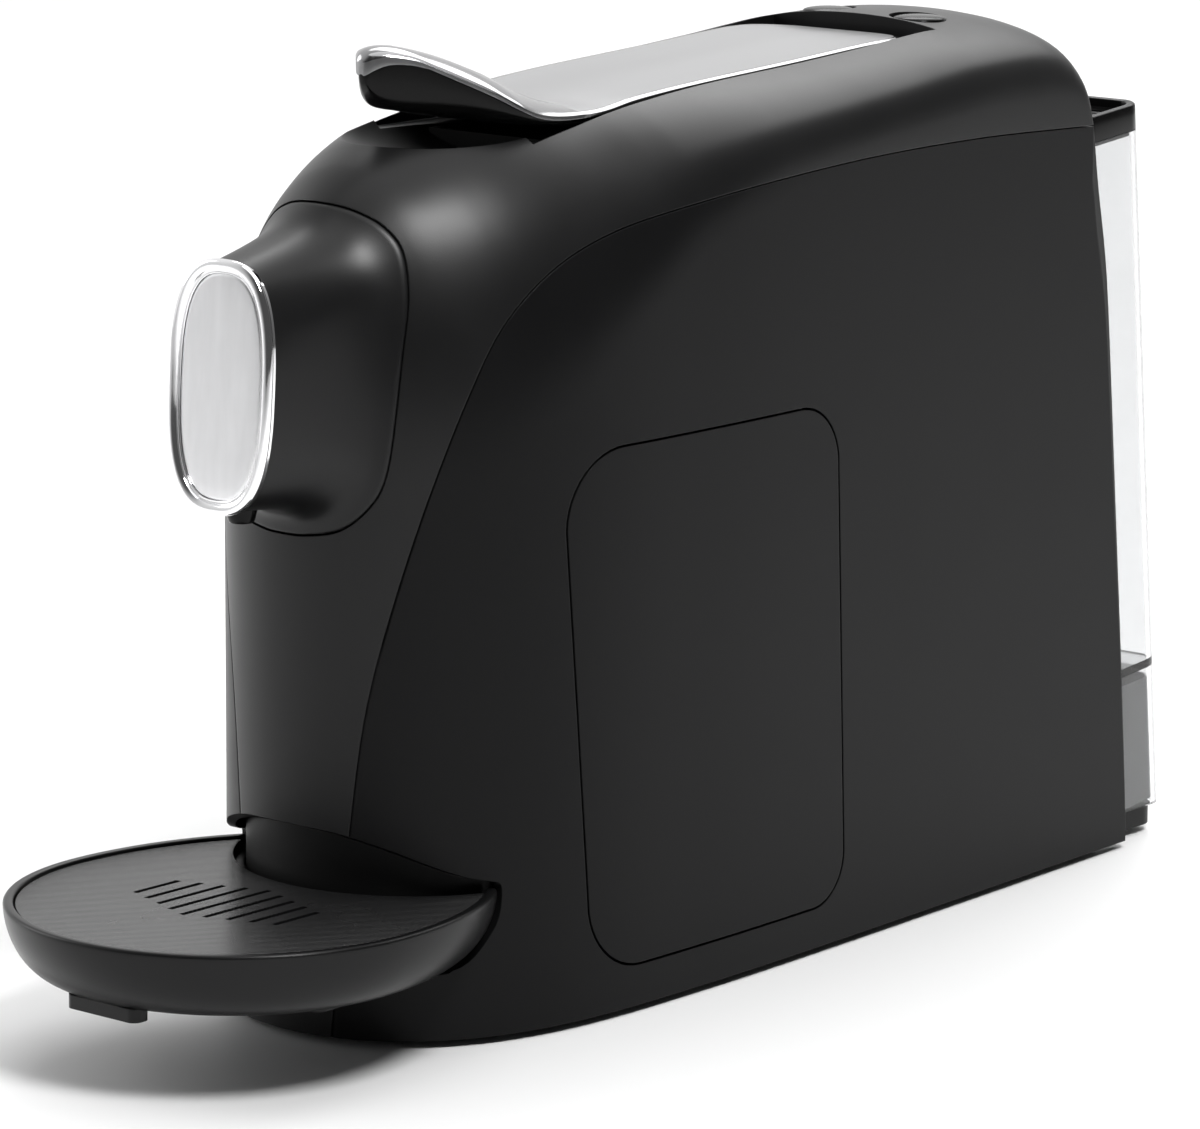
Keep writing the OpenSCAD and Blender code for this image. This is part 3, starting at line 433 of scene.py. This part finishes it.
def wear(obj, *slots):
    obj.data.materials.clear()
    for s in slots:
        obj.data.materials.append(M[s])
    return obj


for node_name, node_obj in NODES.items():
    for entry in node_obj.material_slots:
        key = (entry.material.name if entry.material else "").split(".")[0]
        entry.material = M.get(key, M["dark_plastic"])


def stand_for(obj, body, slot, *nodes):
    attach(obj, body)
    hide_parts(*nodes)
    return obj


# ---- body solids ----------------------------------------------------------------------


def body_stations():
    """Even steps in width round the nose, then even steps along the body, finer at its end."""
    fine = np.linspace(BODY_FRONT, BODY_FRONT + NOSE, 4000)
    nose = np.interp(np.concatenate([[0.15, 0.5], np.arange(1.2, 44, 1.2)]), half_w(fine), fine)
    return np.concatenate([nose, np.arange(nose[-1] + 2.4, 284, 3.4), np.arange(285, 323.5, 1.1)])


def body_solid_mesh(name, inset=0.0, arch=56, rows=14):
    """The body as a solid; an inset makes it smaller all round."""
    rings = []
    for y in body_stations():
        w = float(half_w(y)) * (1 - inset / BODY_W)
        base, top = float(shoulder(y)), float(at(TOP, y))
        if inset:
            y = BODY_FRONT + inset + (y - BODY_FRONT) * (1 - 2 * inset / 300)
            top -= inset * 1.2
            base = min(base, top - 0.4)
        power = float(at(SQUARE, y))
        a = np.linspace(0, math.pi, arch + 1)
        c, s = np.cos(a), np.maximum(np.sin(a), 0)
        x = w * np.sign(c) * np.abs(c) ** (2 / PLAN_POWER)
        z = base + (top - base) * s ** (2 / power)
        down = np.linspace(base, -1.0, rows)[1:]
        left = np.stack([np.full(rows - 1, -w), np.full(rows - 1, y), down], 1)
        right = np.stack([np.full(rows - 1, w), np.full(rows - 1, y), down[::-1]], 1)
        arc = np.stack([x, np.full(arch + 1, y), z], 1)
        rings.append(np.vstack([right, arc, left]))
    return loft(name, rings)


def hollow_body(name):
    return combine(body_solid_mesh(name), body_solid_mesh("inner", WALL), "DIFFERENCE")


def behind_seam(gap):
    """Everything below and behind the side panels' seam, grown by gap."""
    line = SEAM_LINE.copy()
    d = np.gradient(line, axis=0)
    d /= np.linalg.norm(d, axis=1, keepdims=True)
    line = line + gap * np.stack([-d[:, 1], d[:, 0]], 1)
    return prism(np.vstack([line, [(400, line[-1, 1]), (400, -20)]]), "x", -80, 80)


# the opening that the tray slides into, in the side view
NOTCH = smooth_line([
    (-10, 19), (32, 19.2), (38, 20.2), (42, 22.6), (46, 27.6), (48.8, 33), (49.6, 40), (48.6, 42),
    (46.5, 42.6), (40.6, 44.2), (33.4, 47.6), (24.5, 52.8), (16, 57), (-10, 66)], 4)
DRAWER_Z = 81.35
LEAN = math.tan(math.radians(3.4))


def drawer_outline(inset):
    """Rounded, leaning outline of the drawer's front in the side view."""
    out = []
    corners = ((163.5, 133, 17, 0), (90.5, 130, 20, 1), (92.5, 32.7, 20, 2), (165, 26.7, 14, 3))
    for cy, cz, r, start in corners:
        cy -= LEAN * (cz - DRAWER_Z)
        for k in range(13):
            a = math.pi / 2 * (start + k / 12)
            out.append((cy + (r - inset) * math.cos(a), cz + (r - inset) * math.sin(a)))
    return out


HEAD_Z = 172.2
# right half of the seam round the head cover, as (x, z)
HEAD_SEAM = smooth_line([
    (0, 212.6), (6, 212.2), (12, 210.8), (18.5, 207.6), (24, 201.6), (27.6, 191), (28.6, 178.5),
    (28.4, 161.3), (26.8, 147), (23.4, 139.2), (16.6, 133), (7, 130.9), (0, 130.6)], 6)
HEAD_SEAM[:, 1] -= HEAD_Z


def evenly(outline, n):
    """n points at even steps along a closed outline."""
    o = np.vstack([outline, outline[:1]])
    s = np.concatenate([[0], np.cumsum(np.linalg.norm(np.diff(o, axis=0), axis=1))])
    t = np.linspace(0, s[-1], n, endpoint=False)
    return np.stack([np.interp(t, s, o[:, 0]), np.interp(t, s, o[:, 1])], 1)


HEAD_OUTLINE = evenly(np.vstack([HEAD_SEAM[:-1], (HEAD_SEAM * [-1, 1])[:0:-1]]), 144)[::-1]
HEAD_ANGLES = np.arctan2(HEAD_OUTLINE[:, 1], HEAD_OUTLINE[:, 0])


def at_head_angles(outline):
    """The outline's points at the same directions from the centre as the seam's."""
    o = evenly(outline, 900)
    a, r = np.arctan2(o[:, 1], o[:, 0]), np.hypot(o[:, 0], o[:, 1])
    order = np.argsort(a)
    r = np.interp(HEAD_ANGLES, a[order], r[order], period=2 * math.pi)
    return np.stack([r * np.cos(HEAD_ANGLES), r * np.sin(HEAD_ANGLES)], 1)


def outward(outline, d):
    """Moves a closed counter-clockwise outline outwards by d."""
    t = np.roll(outline, -1, axis=0) - np.roll(outline, 1, axis=0)
    t /= np.linalg.norm(t, axis=1, keepdims=True)
    return outline + d * np.stack([t[:, 1], -t[:, 0]], 1)


BUTTON_X, BUTTON_Y, BUTTON_R = 15.6, 256.4, 7.5
CHANNEL_W = LEVER_W + 1.2
CHANNEL_Z = 224.5
HOLLOW_Y, HOLLOW_Z = 80, 232
HOLLOW_HALF = (28.2, 36, 14)


def lever_channel():
    return block(-CHANNEL_W, CHANNEL_W, HOLLOW_Y, 248, CHANNEL_Z, 260)


def hollow_rings(grow_x=1.0, grow_y=1.0, drop=0.0):
    """Rings of the egg shape that scoops out the finger hollow."""
    rings = []
    for u in np.linspace(-1, 1, 25):
        wide = circle(0, 0, math.sqrt(max(1 - u * u, 0.0)), 64)
        rings.append(np.column_stack([
            HOLLOW_HALF[0] * wide[:, 0] * grow_x, HOLLOW_Y + HOLLOW_HALF[1] * wide[:, 1] * grow_y,
            np.full(64, HOLLOW_Z + HOLLOW_HALF[2] * u - drop)]))
    return rings


# central shell, with the lining of the lever's channel
shell = hollow_body("shell_top")
lining = block(-CHANNEL_W - 1.6, CHANNEL_W + 1.6, 42, 249.2, CHANNEL_Z - WALL, 250)
combine(shell, combine(lining, body_solid_mesh("limit", 1.2), "INTERSECT"), "UNION")
combine(shell, behind_seam(SEAM), "DIFFERENCE")
combine(shell, lever_channel(), "DIFFERENCE")
# slots for the pod, the gear sector and the hinge's ears
for cut in (block(-19, 19, 93, 128, 210, 240), block(-5.5, 5.5, 204, 247.8, 210, 240),
            block(-23.9, -19.5, 229, 247, 210, 240), block(19.5, 23.9, 229, 247, 210, 240)):
    combine(shell, cut, "DIFFERENCE")
# finger hollow under the lever's tongue: a pan is added, then scooped
pan = combine(loft("pan", hollow_rings(1.05, 1.04, 1.4)), body_solid_mesh("limit", 1.2), "INTERSECT")
combine(shell, pan, "UNION")
combine(shell, loft("scoop", hollow_rings()), "DIFFERENCE")
combine(shell, lever_channel(), "DIFFERENCE")
for side in (-1, 1):
    combine(shell, rod_z(side * BUTTON_X, BUTTON_Y, BUTTON_R + SEAM, 230, 260), "DIFFERENCE")
combine(shell, prism(outward(HEAD_OUTLINE, SEAM) + [0, HEAD_Z], "y", -20, 60), "DIFFERENCE")
combine(shell, prism(NOTCH, "x", -80, 80), "DIFFERENCE")
combine(shell, block(-80, 80, -20, 400, -10, SKIRT), "DIFFERENCE")
body_shading(shell)
stand_for(wear(shell, "shell_black"), "machine", "shell_black", "central_shell", "front_skirt")

# the brew group's frame, cut back to lie inside the shell
source = NODES["brew_frame"]
co = np.array([source.matrix_world @ v.co for v in source.data.vertices]) / MM
co[:, 1] -= SPOUT_Y
inner_frame = make("inner_frame", co, [tuple(f.vertices) for f in source.data.polygons], smooth=False)
combine(inner_frame, body_solid_mesh("limit", WALL + 0.2), "INTERSECT")
creased(inner_frame, 30)
stand_for(wear(inner_frame, "cast_metal"), "machine", "cast_metal", "brew_frame")

# side panels
for side, tag in ((1, "right"), (-1, "left")):
    panel = hollow_body(f"side_cover_{tag}")
    combine(panel, behind_seam(0.0), "INTERSECT")
    combine(panel, block(*sorted((4 * side, 80 * side)), -20, 400, SKIRT, 260), "INTERSECT")
    combine(panel, prism(NOTCH, "x", -80, 80), "DIFFERENCE")
    combine(panel, block(-42.5, 42.5, 300, 400, -10, 300), "DIFFERENCE")
    if side > 0:
        combine(panel, prism(drawer_outline(0), "x", 40, 80), "DIFFERENCE")
    else:
        # hole for the cord's gland
        combine(panel, prism(circle(300, 12, 6.4, 48), "x", -80, -30), "DIFFERENCE")
    body_shading(panel)
    stand_for(wear(panel, "side_black"), "machine", "side_black", f"side_panel_{tag}")

door = hollow_body("drawer_face")
combine(door, prism(drawer_outline(0.7), "x", 40, 80), "INTERSECT")
body_shading(door)
stand_for(wear(door, "side_black"), "drawer", "side_black", "drawer_front")

# ---- head -----------------------------------------------------------------------------
BADGE_Z = (BADGE_LO.z + BADGE_HI.z) / 2
BADGE_Y = -2.8
TILT = math.radians(3.7)


def badge_point(x, h, out):
    """A point on the badge's leaning plane, h up it and out in front of it."""
    return np.stack([x, BADGE_Y - out * math.cos(TILT) + h * math.sin(TILT),
                     BADGE_Z + h * math.cos(TILT) + out * math.sin(TILT)], -1)


def badge_outline(inset, power=2.75, n=144):
    """Badge's outline, inset from its edge."""
    c, s = circle(0, 0, 1, 4000).T
    x = (BADGE_W / 2 - inset) * np.sign(c) * np.abs(c) ** (2 / power)
    z = (BADGE_H / 2 - inset) * np.sign(s) * np.abs(s) ** (2 / power)
    return evenly(np.stack([x, z], 1), n)


def on_nose(outline, depth):
    """Outline about the head's centre, laid on the body's front and moved back by depth."""
    x, z = outline[:, 0], outline[:, 1] + HEAD_Z
    return np.stack([x, front_y(x, z) + depth, z], 1)


def head_rings():
    """From inside the flange's skirt, over its rolled edge, down the neck to the badge."""
    rings = []
    for depth, shrink in ((3.0, 0.0), (0.7, 0.0), (0.25, 0.12), (0.0, 0.5)):
        rings.append(on_nose(outward(HEAD_OUTLINE, -shrink), depth))
    start = rings[-1]
    neck = at_head_angles(badge_outline(0.8))
    end = badge_point(neck[:, 0], neck[:, 1], 0.1)
    corner = on_nose(at_head_angles(racetrack(*NECK_ROOT)), -1.0)
    out, along = corner + 0.12 * (start - corner), corner + 0.10 * (end - corner)
    for t in np.linspace(0, 1, 40)[1:]:
        rings.append((1 - t) ** 3 * start + 3 * t * (1 - t) ** 2 * out
                     + 3 * t * t * (1 - t) * along + t**3 * end)
    return rings


BADGE_W, BADGE_H = BADGE_HI.x - BADGE_LO.x, 63.5
NECK_ROOT = (40.6, 68.5, 17.5)
head = loft("head_front", head_rings())
combine(head, prism(badge_outline(4.5) + [0, BADGE_Z], "y", -1.0, 60.0), "DIFFERENCE")
combine(head, rod_z(0, NOZZLE_Y, 5.4, 120, 160), "DIFFERENCE")
creased(head, 40)
stand_for(wear(head, "shell_black"), "machine", "shell_black", "head_cover")


def badge_loft(name, profile):
    """Sweeps (inset, out) points round the badge's outline."""
    rings = []
    for inset, out in profile:
        o = badge_outline(inset)
        rings.append(badge_point(o[:, 0], o[:, 1], np.full(len(o), out)))
    return loft(name, rings)


bezel = badge_loft("badge_ring", [
    (0.9, 0.0), (0.55, 0.15), (0.45, 1.3), (0.1, 1.5), (0.0, 1.9), (0.05, 2.4), (0.3, 2.85), (0.7, 3.13),
    (1.2, 3.27), (1.7, 3.27), (2.2, 3.1), (2.6, 2.8), (2.8, 2.5), (2.9, 2.2), (3.2, 2.1), (3.5, 2.2),
    (3.65, 2.1), (3.7, 1.0)])
combine(bezel, badge_loft("bezel_hole", [(3.75, 1.0), (3.75, 5.0)]), "DIFFERENCE")
creased(bezel, 50)
stand_for(wear(bezel, "badge_chrome"), "machine", "badge_chrome", "badge_bezel")
plate = badge_loft("badge_face", [
    (3.8, 1.05), (3.8, 1.8), (4.0, 1.95), (4.6, 2.05), (7.0, 2.15), (10.0, 2.22), (13.0, 2.24)])
creased(plate, 50)
stand_for(wear(plate, "badge_satin"), "machine", "badge_satin", "badge_plate")

low, high = (corner.z for corner in node_box("spout_nozzle"))
nozzle = loft("spout_tip", [circle_ring(0, NOZZLE_Y, r, z) for r, z in (
    (6.2, high), (6.2, high - 3), (4.6, high - 3), (4.5, low + 5), (3.4, low + 0.6), (3.0, low), (1.9, low),
    (1.8, high - 4))])
creased(nozzle, 40)
stand_for(wear(nozzle, "gloss_black"), "machine", "gloss_black", "spout_nozzle")

# ---- lever ----------------------------------------------------------------------------
TONGUE_Y, LEVER_BACK = 46.6, 243.5
PLATE_T = 1.3
# heights of the plate along its middle and along its edge, and the depth of its turned-down edge
LEVER_MID = smooth_line([
    (TONGUE_Y, 246.9), (48.5, 248.8), (51, 249.6), (54, 249.85), (58.5, 249.4), (67.9, 247), (77.5, 243.6),
    (85, 240), (92, 236.6), (100, 233.6), (110, 231.7), (123, 233), (148, 234.9), (187, 237), (225, 239.2),
    (LEVER_BACK, 238.9)])
LEVER_SIDE = smooth_line([
    (TONGUE_Y, 246.6), (48.2, 247.5), (51.4, 248), (56.6, 246.9), (61.2, 244.4), (65.2, 242.1), (69.3, 239.7),
    (73.4, 237.2), (77.2, 234.9), (85, 232), (96, 230.8), (110, 231.2), (123, 233), (148, 234.9), (187, 237),
    (225, 239.2), (LEVER_BACK, 238.9)])
LEVER_LIP = smooth_line([
    (TONGUE_Y, 3.9), (48.2, 3.3), (51.4, 2.4), (57, 1.7), (62, 1.4), (70, PLATE_T), (LEVER_BACK, PLATE_T)])
# right half of the tongue's plan, as (x, y)
TIP_LINE = smooth_line([
    (0, TONGUE_Y), (3, 48.2), (6, 51.4), (10, 56.6), (14, 61.2), (17.5, 65.2), (21, 69.3), (24.3, 73.4),
    (26.4, 77.2), (LEVER_W, 82)], 6)
# its very tip is round
TIP_LINE = np.vstack([[(3 * math.sin(a), 48.2 - 1.6 * math.cos(a) ** 1.5) for a in np.linspace(0, 1.5, 9)],
                      TIP_LINE[TIP_LINE[:, 1] > 48.25]])


def lever_half(y):
    """Half width of the lever's plate."""
    y = np.asarray(y, float)
    k = np.clip((y - 229) / 12.6, 0, 1)
    rear = LEVER_W - 14 + 14 * np.sqrt(np.maximum(1 - k * k, 0))
    front = np.interp(y, TIP_LINE[:, 1], TIP_LINE[:, 0])
    return np.where(y < 82, front, np.where(y > 229, rear, LEVER_W))


def lever_z(u, y):
    side = at(LEVER_SIDE, y)
    return side + (at(LEVER_MID, y) - side) * (1 - np.abs(u) ** 2.2)


def lever_stations(lo=46.62, hi=241.58):
    front = np.concatenate([TONGUE_Y + 1.6 * (1 - np.cos(np.linspace(0.1, 1.5, 7))), np.arange(48.6, 82, 1.3)])
    back = 229 + 12.56 * np.sin(np.linspace(0, math.pi / 2, 12))
    ys = np.concatenate([front, np.arange(83, 228, 3.0), back])
    return ys[(ys >= lo) & (ys <= hi)]


def plate_grid():
    """Vertices and faces of the lever's plate: its top and underside, and the edge between them."""
    right = np.array([0.25, 0.5, 0.7, 0.86, 0.93, 0.97, 0.992, 1])
    us = np.concatenate([-right[::-1], [0], right])
    ys = lever_stations()
    top, low = [], []
    for y in ys:
        hw, lip = float(lever_half(y)), float(at(LEVER_LIP, y))
        for u in us:
            # distance from the plan's edge
            d = min(hw * (1 - abs(u)), (y - TONGUE_Y) * 0.8, max(LEVER_BACK - y, 0) + 0.4)
            round_off = 0.5 * max(0.0, 1 - d / 0.9) ** 2
            z = float(lever_z(u, y))
            top.append((hw * u, y, z - round_off))
            low.append((hw * u, y, z - (PLATE_T + (lip - PLATE_T) * max(0.0, 1 - d / 2.0))))
    n, m = len(us), len(ys)
    verts = top + low
    faces, mats = [], []
    for i in range(m - 1):
        for k in range(n - 1):
            a = i * n + k
            mid_y, mid_u = (ys[i] + ys[i + 1]) / 2, abs(us[k] + us[k + 1]) / 2
            rim = float(lever_half(mid_y)) * (1 - mid_u) < 1.5 or mid_y < 100
            faces.append((a, a + 1, a + n + 1, a + n))
            mats.append(1 if rim else 0)
            b = m * n + a
            faces.append((b + n, b + n + 1, b + 1, b))
            mats.append(1)
    edge = [k for k in range(n)] + [i * n + n - 1 for i in range(1, m)] \
        + [(m - 1) * n + k for k in range(n - 2, -1, -1)] + [i * n for i in range(m - 2, 0, -1)]
    for a, b in zip(edge, edge[1:] + edge[:1]):
        faces.append((b, a, a + m * n, b + m * n))
        mats.append(2)
    return verts, faces, mats


verts, faces, mats = plate_grid()
mesh = bpy.data.meshes.new("lever_top")
mesh.from_pydata([tuple(v) for v in to_frame(verts)], [], faces)
lever_top = bpy.data.objects.new("lever_top", mesh)
bpy.context.scene.collection.objects.link(lever_top)
wear(lever_top, "lever_metal", "lever_polish", "lever_edge")
creased(lever_top, 40)
mesh.polygons.foreach_set("material_index", mats)
stand_for(lever_top, "lever", "lever_metal", "lever_plate")

# underside of the grip
UNDER = smooth_line([
    (47, 241.5), (49, 238), (52, 235.4), (57, 233.4), (70, 231.2), (90, 227.6), (110, 226.4), (235, 225.6),
    (240, 226.0), (243, 227.0)], 6)
rings = []
for y in lever_stations(47.3, 241.5):
    hw = max(float(lever_half(y - 0.4)) - 0.5, 0.4) if y < 82 else float(lever_half(y)) - 0.9
    us = np.linspace(1, -1, 17)
    top = lever_z(us, y) - 1.25
    low = min(float(at(UNDER, y)), float(top.min()) - 0.6)
    a = np.linspace(0, math.pi, 33)[1:-1]
    x = -hw * np.sign(np.cos(a)) * np.abs(np.cos(a)) ** 0.45
    z = top[0] - (top[0] - low) * np.sin(a) ** 0.62
    rings.append(np.vstack([np.stack([hw * us, np.full(17, y), top], 1),
                            np.stack([x, np.full(31, y), z], 1)]))
grip = loft("lever_grip", rings)
combine(grip, block(-5.6, 5.6, 200, 245, 220, 234), "DIFFERENCE")
for side in (-1, 1):
    combine(grip, block(side * 21.7 - 2.3, side * 21.7 + 2.3, 228.5, 246, 220, 235.8), "DIFFERENCE")
creased(grip, 40)
stand_for(wear(grip, "gloss_black"), "lever", "gloss_black", "lever_body")

# ---- buttons --------------------------------------------------------------------------
for side, tag in ((-1, "left"), (1, "right")):
    lo, hi = node_box(f"button_{tag}")
    cx, cy = (lo.x + hi.x) / 2, (lo.y + hi.y) / 2 - SPOUT_Y
    r, top = BUTTON_R, hi.z
    cap = loft(f"button_cap_{tag}", [circle_ring(cx, cy, rr, z) for rr, z in (
        (4.2, lo.z + 0.2), (r - 0.1, top - 4.5), (r, top - 1.6), (r - 0.1, top - 1.05), (r - 0.4, top - 0.72),
        (r - 1.0, top - 0.5), (r - 2.2, top - 0.26), (r - 4.0, top - 0.09), (r - 6.0, top - 0.01), (0.3, top))])
    creased(cap, 50)
    stand_for(wear(cap, "gloss_black"), f"{tag}_button", "gloss_black", f"button_{tag}")

# ---- tank collar ----------------------------------------------------------------------
TANK_LEAN = math.radians(5.35)
TANK_BACK, TANK_FOOT = 350.5, 8.0
TANK_W, TANK_D, TANK_R = 80, 31, 7


def on_tank(x, back, h):
    """A point of the leaning tank: back from its rear lower edge, h up along it."""
    x, back, h = np.broadcast_arrays(x, back, float(h))
    return np.stack([x, TANK_BACK + back * math.cos(TANK_LEAN) - h * math.sin(TANK_LEAN),
                     TANK_FOOT + back * math.sin(TANK_LEAN) + h * math.cos(TANK_LEAN)], -1)


def tank_ring(inset, h):
    o = racetrack(TANK_W - 2 * inset, TANK_D - 2 * inset, TANK_R - inset * 0.7, 12)
    return on_tank(o[:, 0], o[:, 1] - TANK_D / 2, h)


def ring_loft(name, rings):
    """Closed ring: the last profile point joins the first."""
    return loft(name, rings + [rings[0]], closed_ends=False)


collar = ring_loft("collar_ring", [tank_ring(i, h) for i, h in (
    (0.15, 200.1), (0.0, 200.4), (0.0, 206.8), (0.12, 207.2), (0.45, 207.5), (0.9, 207.55), (1.9, 207.55),
    (2.25, 207.4),
    (2.4, 207.0), (2.4, 205.0), (5.0, 204.8), (5.0, 200.4), (4.8, 198.6), (2.3, 198.6), (2.2, 200.1))])
creased(collar, 40)
stand_for(wear(collar, "gloss_black"), "tank", "gloss_black", "tank_collar")

# grey band inside the clear skirt
band = ring_loft("skirt_band", [tank_ring(i, h) for i, h in (
    (2.1, 2.5), (2.1, 38.5), (2.3, 39), (2.9, 39), (2.9, 2.5))])
creased(band, 40)
wear(band, "dock_grey")
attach(band, "tank")

# ---- drip tray ------------------------------------------------------------------------


RECESS_Y, RECESS_R = 66.5, 43.4  # round wall behind the tray
HORN_Y = 48.5  # rear ends of the tray's horns


def tray_ellipse(inset, n=160):
    """Plan of the tray's rim: round in front, longer behind."""
    a = np.arange(n) * 2 * math.pi / n
    k = np.where(np.sin(a) > 0, 1.27, 1.0)
    p = np.stack([TRAY_R * np.cos(a), TRAY_R * k * np.sin(a)], 1)
    normal = np.stack([np.cos(a), np.sin(a) / k], 1)
    normal /= np.linalg.norm(normal, axis=1, keepdims=True)
    return p - inset * normal


def tray_ring(r_inset, z):
    o = tray_ellipse(r_inset)
    return np.stack([o[:, 0], o[:, 1], np.full(len(o), z)], 1)


def tray_trim(obj, grow):
    """Cuts the round wall's shape, and the horns' ends, off the tray's rear."""
    combine(obj, rod_z(0, RECESS_Y, RECESS_R + 0.5 + grow, -10, 90, 160), "DIFFERENCE")
    combine(obj, block(-90, 90, HORN_Y - grow, 140, -10, 90), "DIFFERENCE")
    return obj


h = TRAY_Z - TRAY_FLOOR
rings = []
for scale in (0.02, 0.4, 0.8):
    r = tray_ring(15.5, TRAY_FLOOR)
    r[:, :2] *= scale
    rings.append(r)
for a in np.linspace(0, math.pi / 2, 22):
    rings.append(tray_ring(15.5 * (1 - math.sin(a) ** 0.8), TRAY_FLOOR + (h - 0.9) * (1 - math.cos(a) ** 1.15)))
for a in np.linspace(0, math.pi / 2, 6)[1:]:
    rings.append(tray_ring(0.9 * (1 - math.cos(a)), TRAY_Z - 0.9 + 0.9 * math.sin(a)))
rings.append(tray_ring(1.9, TRAY_Z))
for a in np.linspace(0, math.pi / 2, 5)[1:]:
    rings.append(tray_ring(1.9 + 0.7 * math.sin(a), TRAY_Z - 0.7 + 0.7 * math.cos(a)))
rings.append(tray_ring(2.6, TRAY_Z - 3.4))
tray = loft("tray_bowl", rings)
tray_trim(tray, 0)
basin = rod_z(0, 0, 49, TRAY_FLOOR + 2, TRAY_Z - 3, 128)
combine(tray, combine(basin, rod_z(0, RECESS_Y, RECESS_R + 2.9, 0, 90, 128), "DIFFERENCE"), "DIFFERENCE")
for x, y, long_x, long_y in ((0, -46, 24, 6), (36, 0, 6, 24), (-36, 0, 6, 24)):
    tab = prism(racetrack(long_x, long_y, 2.4) + [x, y], "z", TRAY_FLOOR - TAB, TRAY_FLOOR + 1)
    combine(tray, tab, "UNION")
creased(tray, 38)
stand_for(wear(tray, "tray_black"), "tray", "tray_black", "drip_tray")

grille = loft("tray_grille", [tray_ring(2.9, GRILLE_Z - 2.4), tray_ring(2.9, GRILLE_Z - 0.3),
                              tray_ring(3.2, GRILLE_Z), tray_ring(3.6, GRILLE_Z)])
tray_trim(grille, 2.9)
for i in range(-4, 5):
    combine(grille, block(i * 6 - 0.9, i * 6 + 0.9, -20 + abs(i) * 2, 12 - abs(i) * 2, 30, 50), "DIFFERENCE")
creased(grille, 38)
stand_for(wear(grille, "grille_black"), "tray", "grille_black", "drip_grille")

# ---- floor, light and camera ----------------------------------------------------------
scene = bpy.context.scene
scene.view_settings.view_transform = "Standard"

FLOOR_YS = (-3000, -1000, 1500, 3000)
floor = make("studio_floor", [(x, y, -0.05) for x in (-3000, 0, 3000) for y in FLOOR_YS],
             [(i * 4 + k, i * 4 + k + 1, i * 4 + k + 5, i * 4 + k + 4) for i in range(2) for k in range(3)])
paper = material("paper_floor", (0.90, 0.90, 0.90), 0.55, other=(0.92, 0.92, 0.92), soft_size=400,
                 grain=0.01, grain_size=2.0)
floor.data.materials.append(paper)

world = bpy.data.worlds.new("studio")
scene.world = world
world.use_nodes = True
nt = world.node_tree
back = nt.nodes["Background"]
# light comes mostly from behind and from the left, as from a white wall
where = nt.nodes.new("ShaderNodeTexCoord")
side = nt.nodes.new("ShaderNodeVectorMath")
side.operation = "DOT_PRODUCT"
side.inputs[1].default_value = Vector((-0.93, 0.36, 0.08)).normalized()
nt.links.new(where.outputs["Generated"], side.inputs[0])
fade = nt.nodes.new("ShaderNodeMapRange")
fade.interpolation_type = "SMOOTHSTEP"
fade.inputs["From Min"].default_value = -0.35
fade.inputs["From Max"].default_value = 0.75
fade.inputs["To Min"].default_value = 0.07
fade.inputs["To Max"].default_value = 0.88
nt.links.new(side.outputs["Value"], fade.inputs["Value"])
back.inputs["Color"].default_value = (1, 1, 1, 1)
nt.links.new(fade.outputs[0], back.inputs["Strength"])
seen = nt.nodes.new("ShaderNodeBackground")
seen.inputs["Strength"].default_value = 1.0
choose = nt.nodes.new("ShaderNodeMixShader")
ray = nt.nodes.new("ShaderNodeLightPath")
nt.links.new(ray.outputs["Is Camera Ray"], choose.inputs["Fac"])
nt.links.new(back.outputs[0], choose.inputs[1])
nt.links.new(seen.outputs[0], choose.inputs[2])
nt.links.new(choose.outputs[0], nt.nodes["World Output"].inputs["Surface"])

CENTRE = Vector((0, 0, 0.12))


def softbox(name, where, size, power, target=CENTRE):
    light = bpy.data.lights.new(name, "AREA")
    light.shape = "RECTANGLE"
    light.size, light.size_y = size
    light.energy = power
    obj = bpy.data.objects.new(name, light)
    obj.location = where
    obj.rotation_euler = (Vector(target) - Vector(where)).to_track_quat("-Z", "Y").to_euler()
    scene.collection.objects.link(obj)
    return obj


softbox("top_light", (0.30, -0.05, 1.9), (1.6, 1.6), 10)
softbox("nose_light", (1.0, -0.35, 1.6), (0.5, 0.5), 26, target=(0.027, -0.1, 0.21))
softbox("far_light", (-0.6, 2.2, 2.2), (3.0, 2.0), 62, target=(-0.5, 1.8, 0))
softbox("left_light", (-1.8, -0.6, 0.9), (0.9, 1.2), 8)

cam = bpy.data.cameras.new("view")
camera = bpy.data.objects.new("view", cam)
scene.collection.objects.link(camera)
scene.camera = camera
HEADING, HEIGHT, ROLL = math.radians(40.051), math.radians(11.332), math.radians(0.361)
right = Vector((math.cos(HEADING), math.sin(HEADING), 0))
away = Vector((math.sin(HEADING) * math.cos(HEIGHT), -math.cos(HEADING) * math.cos(HEIGHT),
               math.sin(HEIGHT)))
up = away.cross(right)
level_right = right * math.cos(ROLL) + up * math.sin(ROLL)
level_up = up * math.cos(ROLL) - right * math.sin(ROLL)
turn = Matrix((level_right, level_up, away)).transposed().to_4x4()
camera.matrix_world = Matrix.Translation((1.006476, -1.202495, 0.417579)) @ turn
cam.sensor_width = 36
cam.lens = 179.62

bpy.context.view_layer.update()
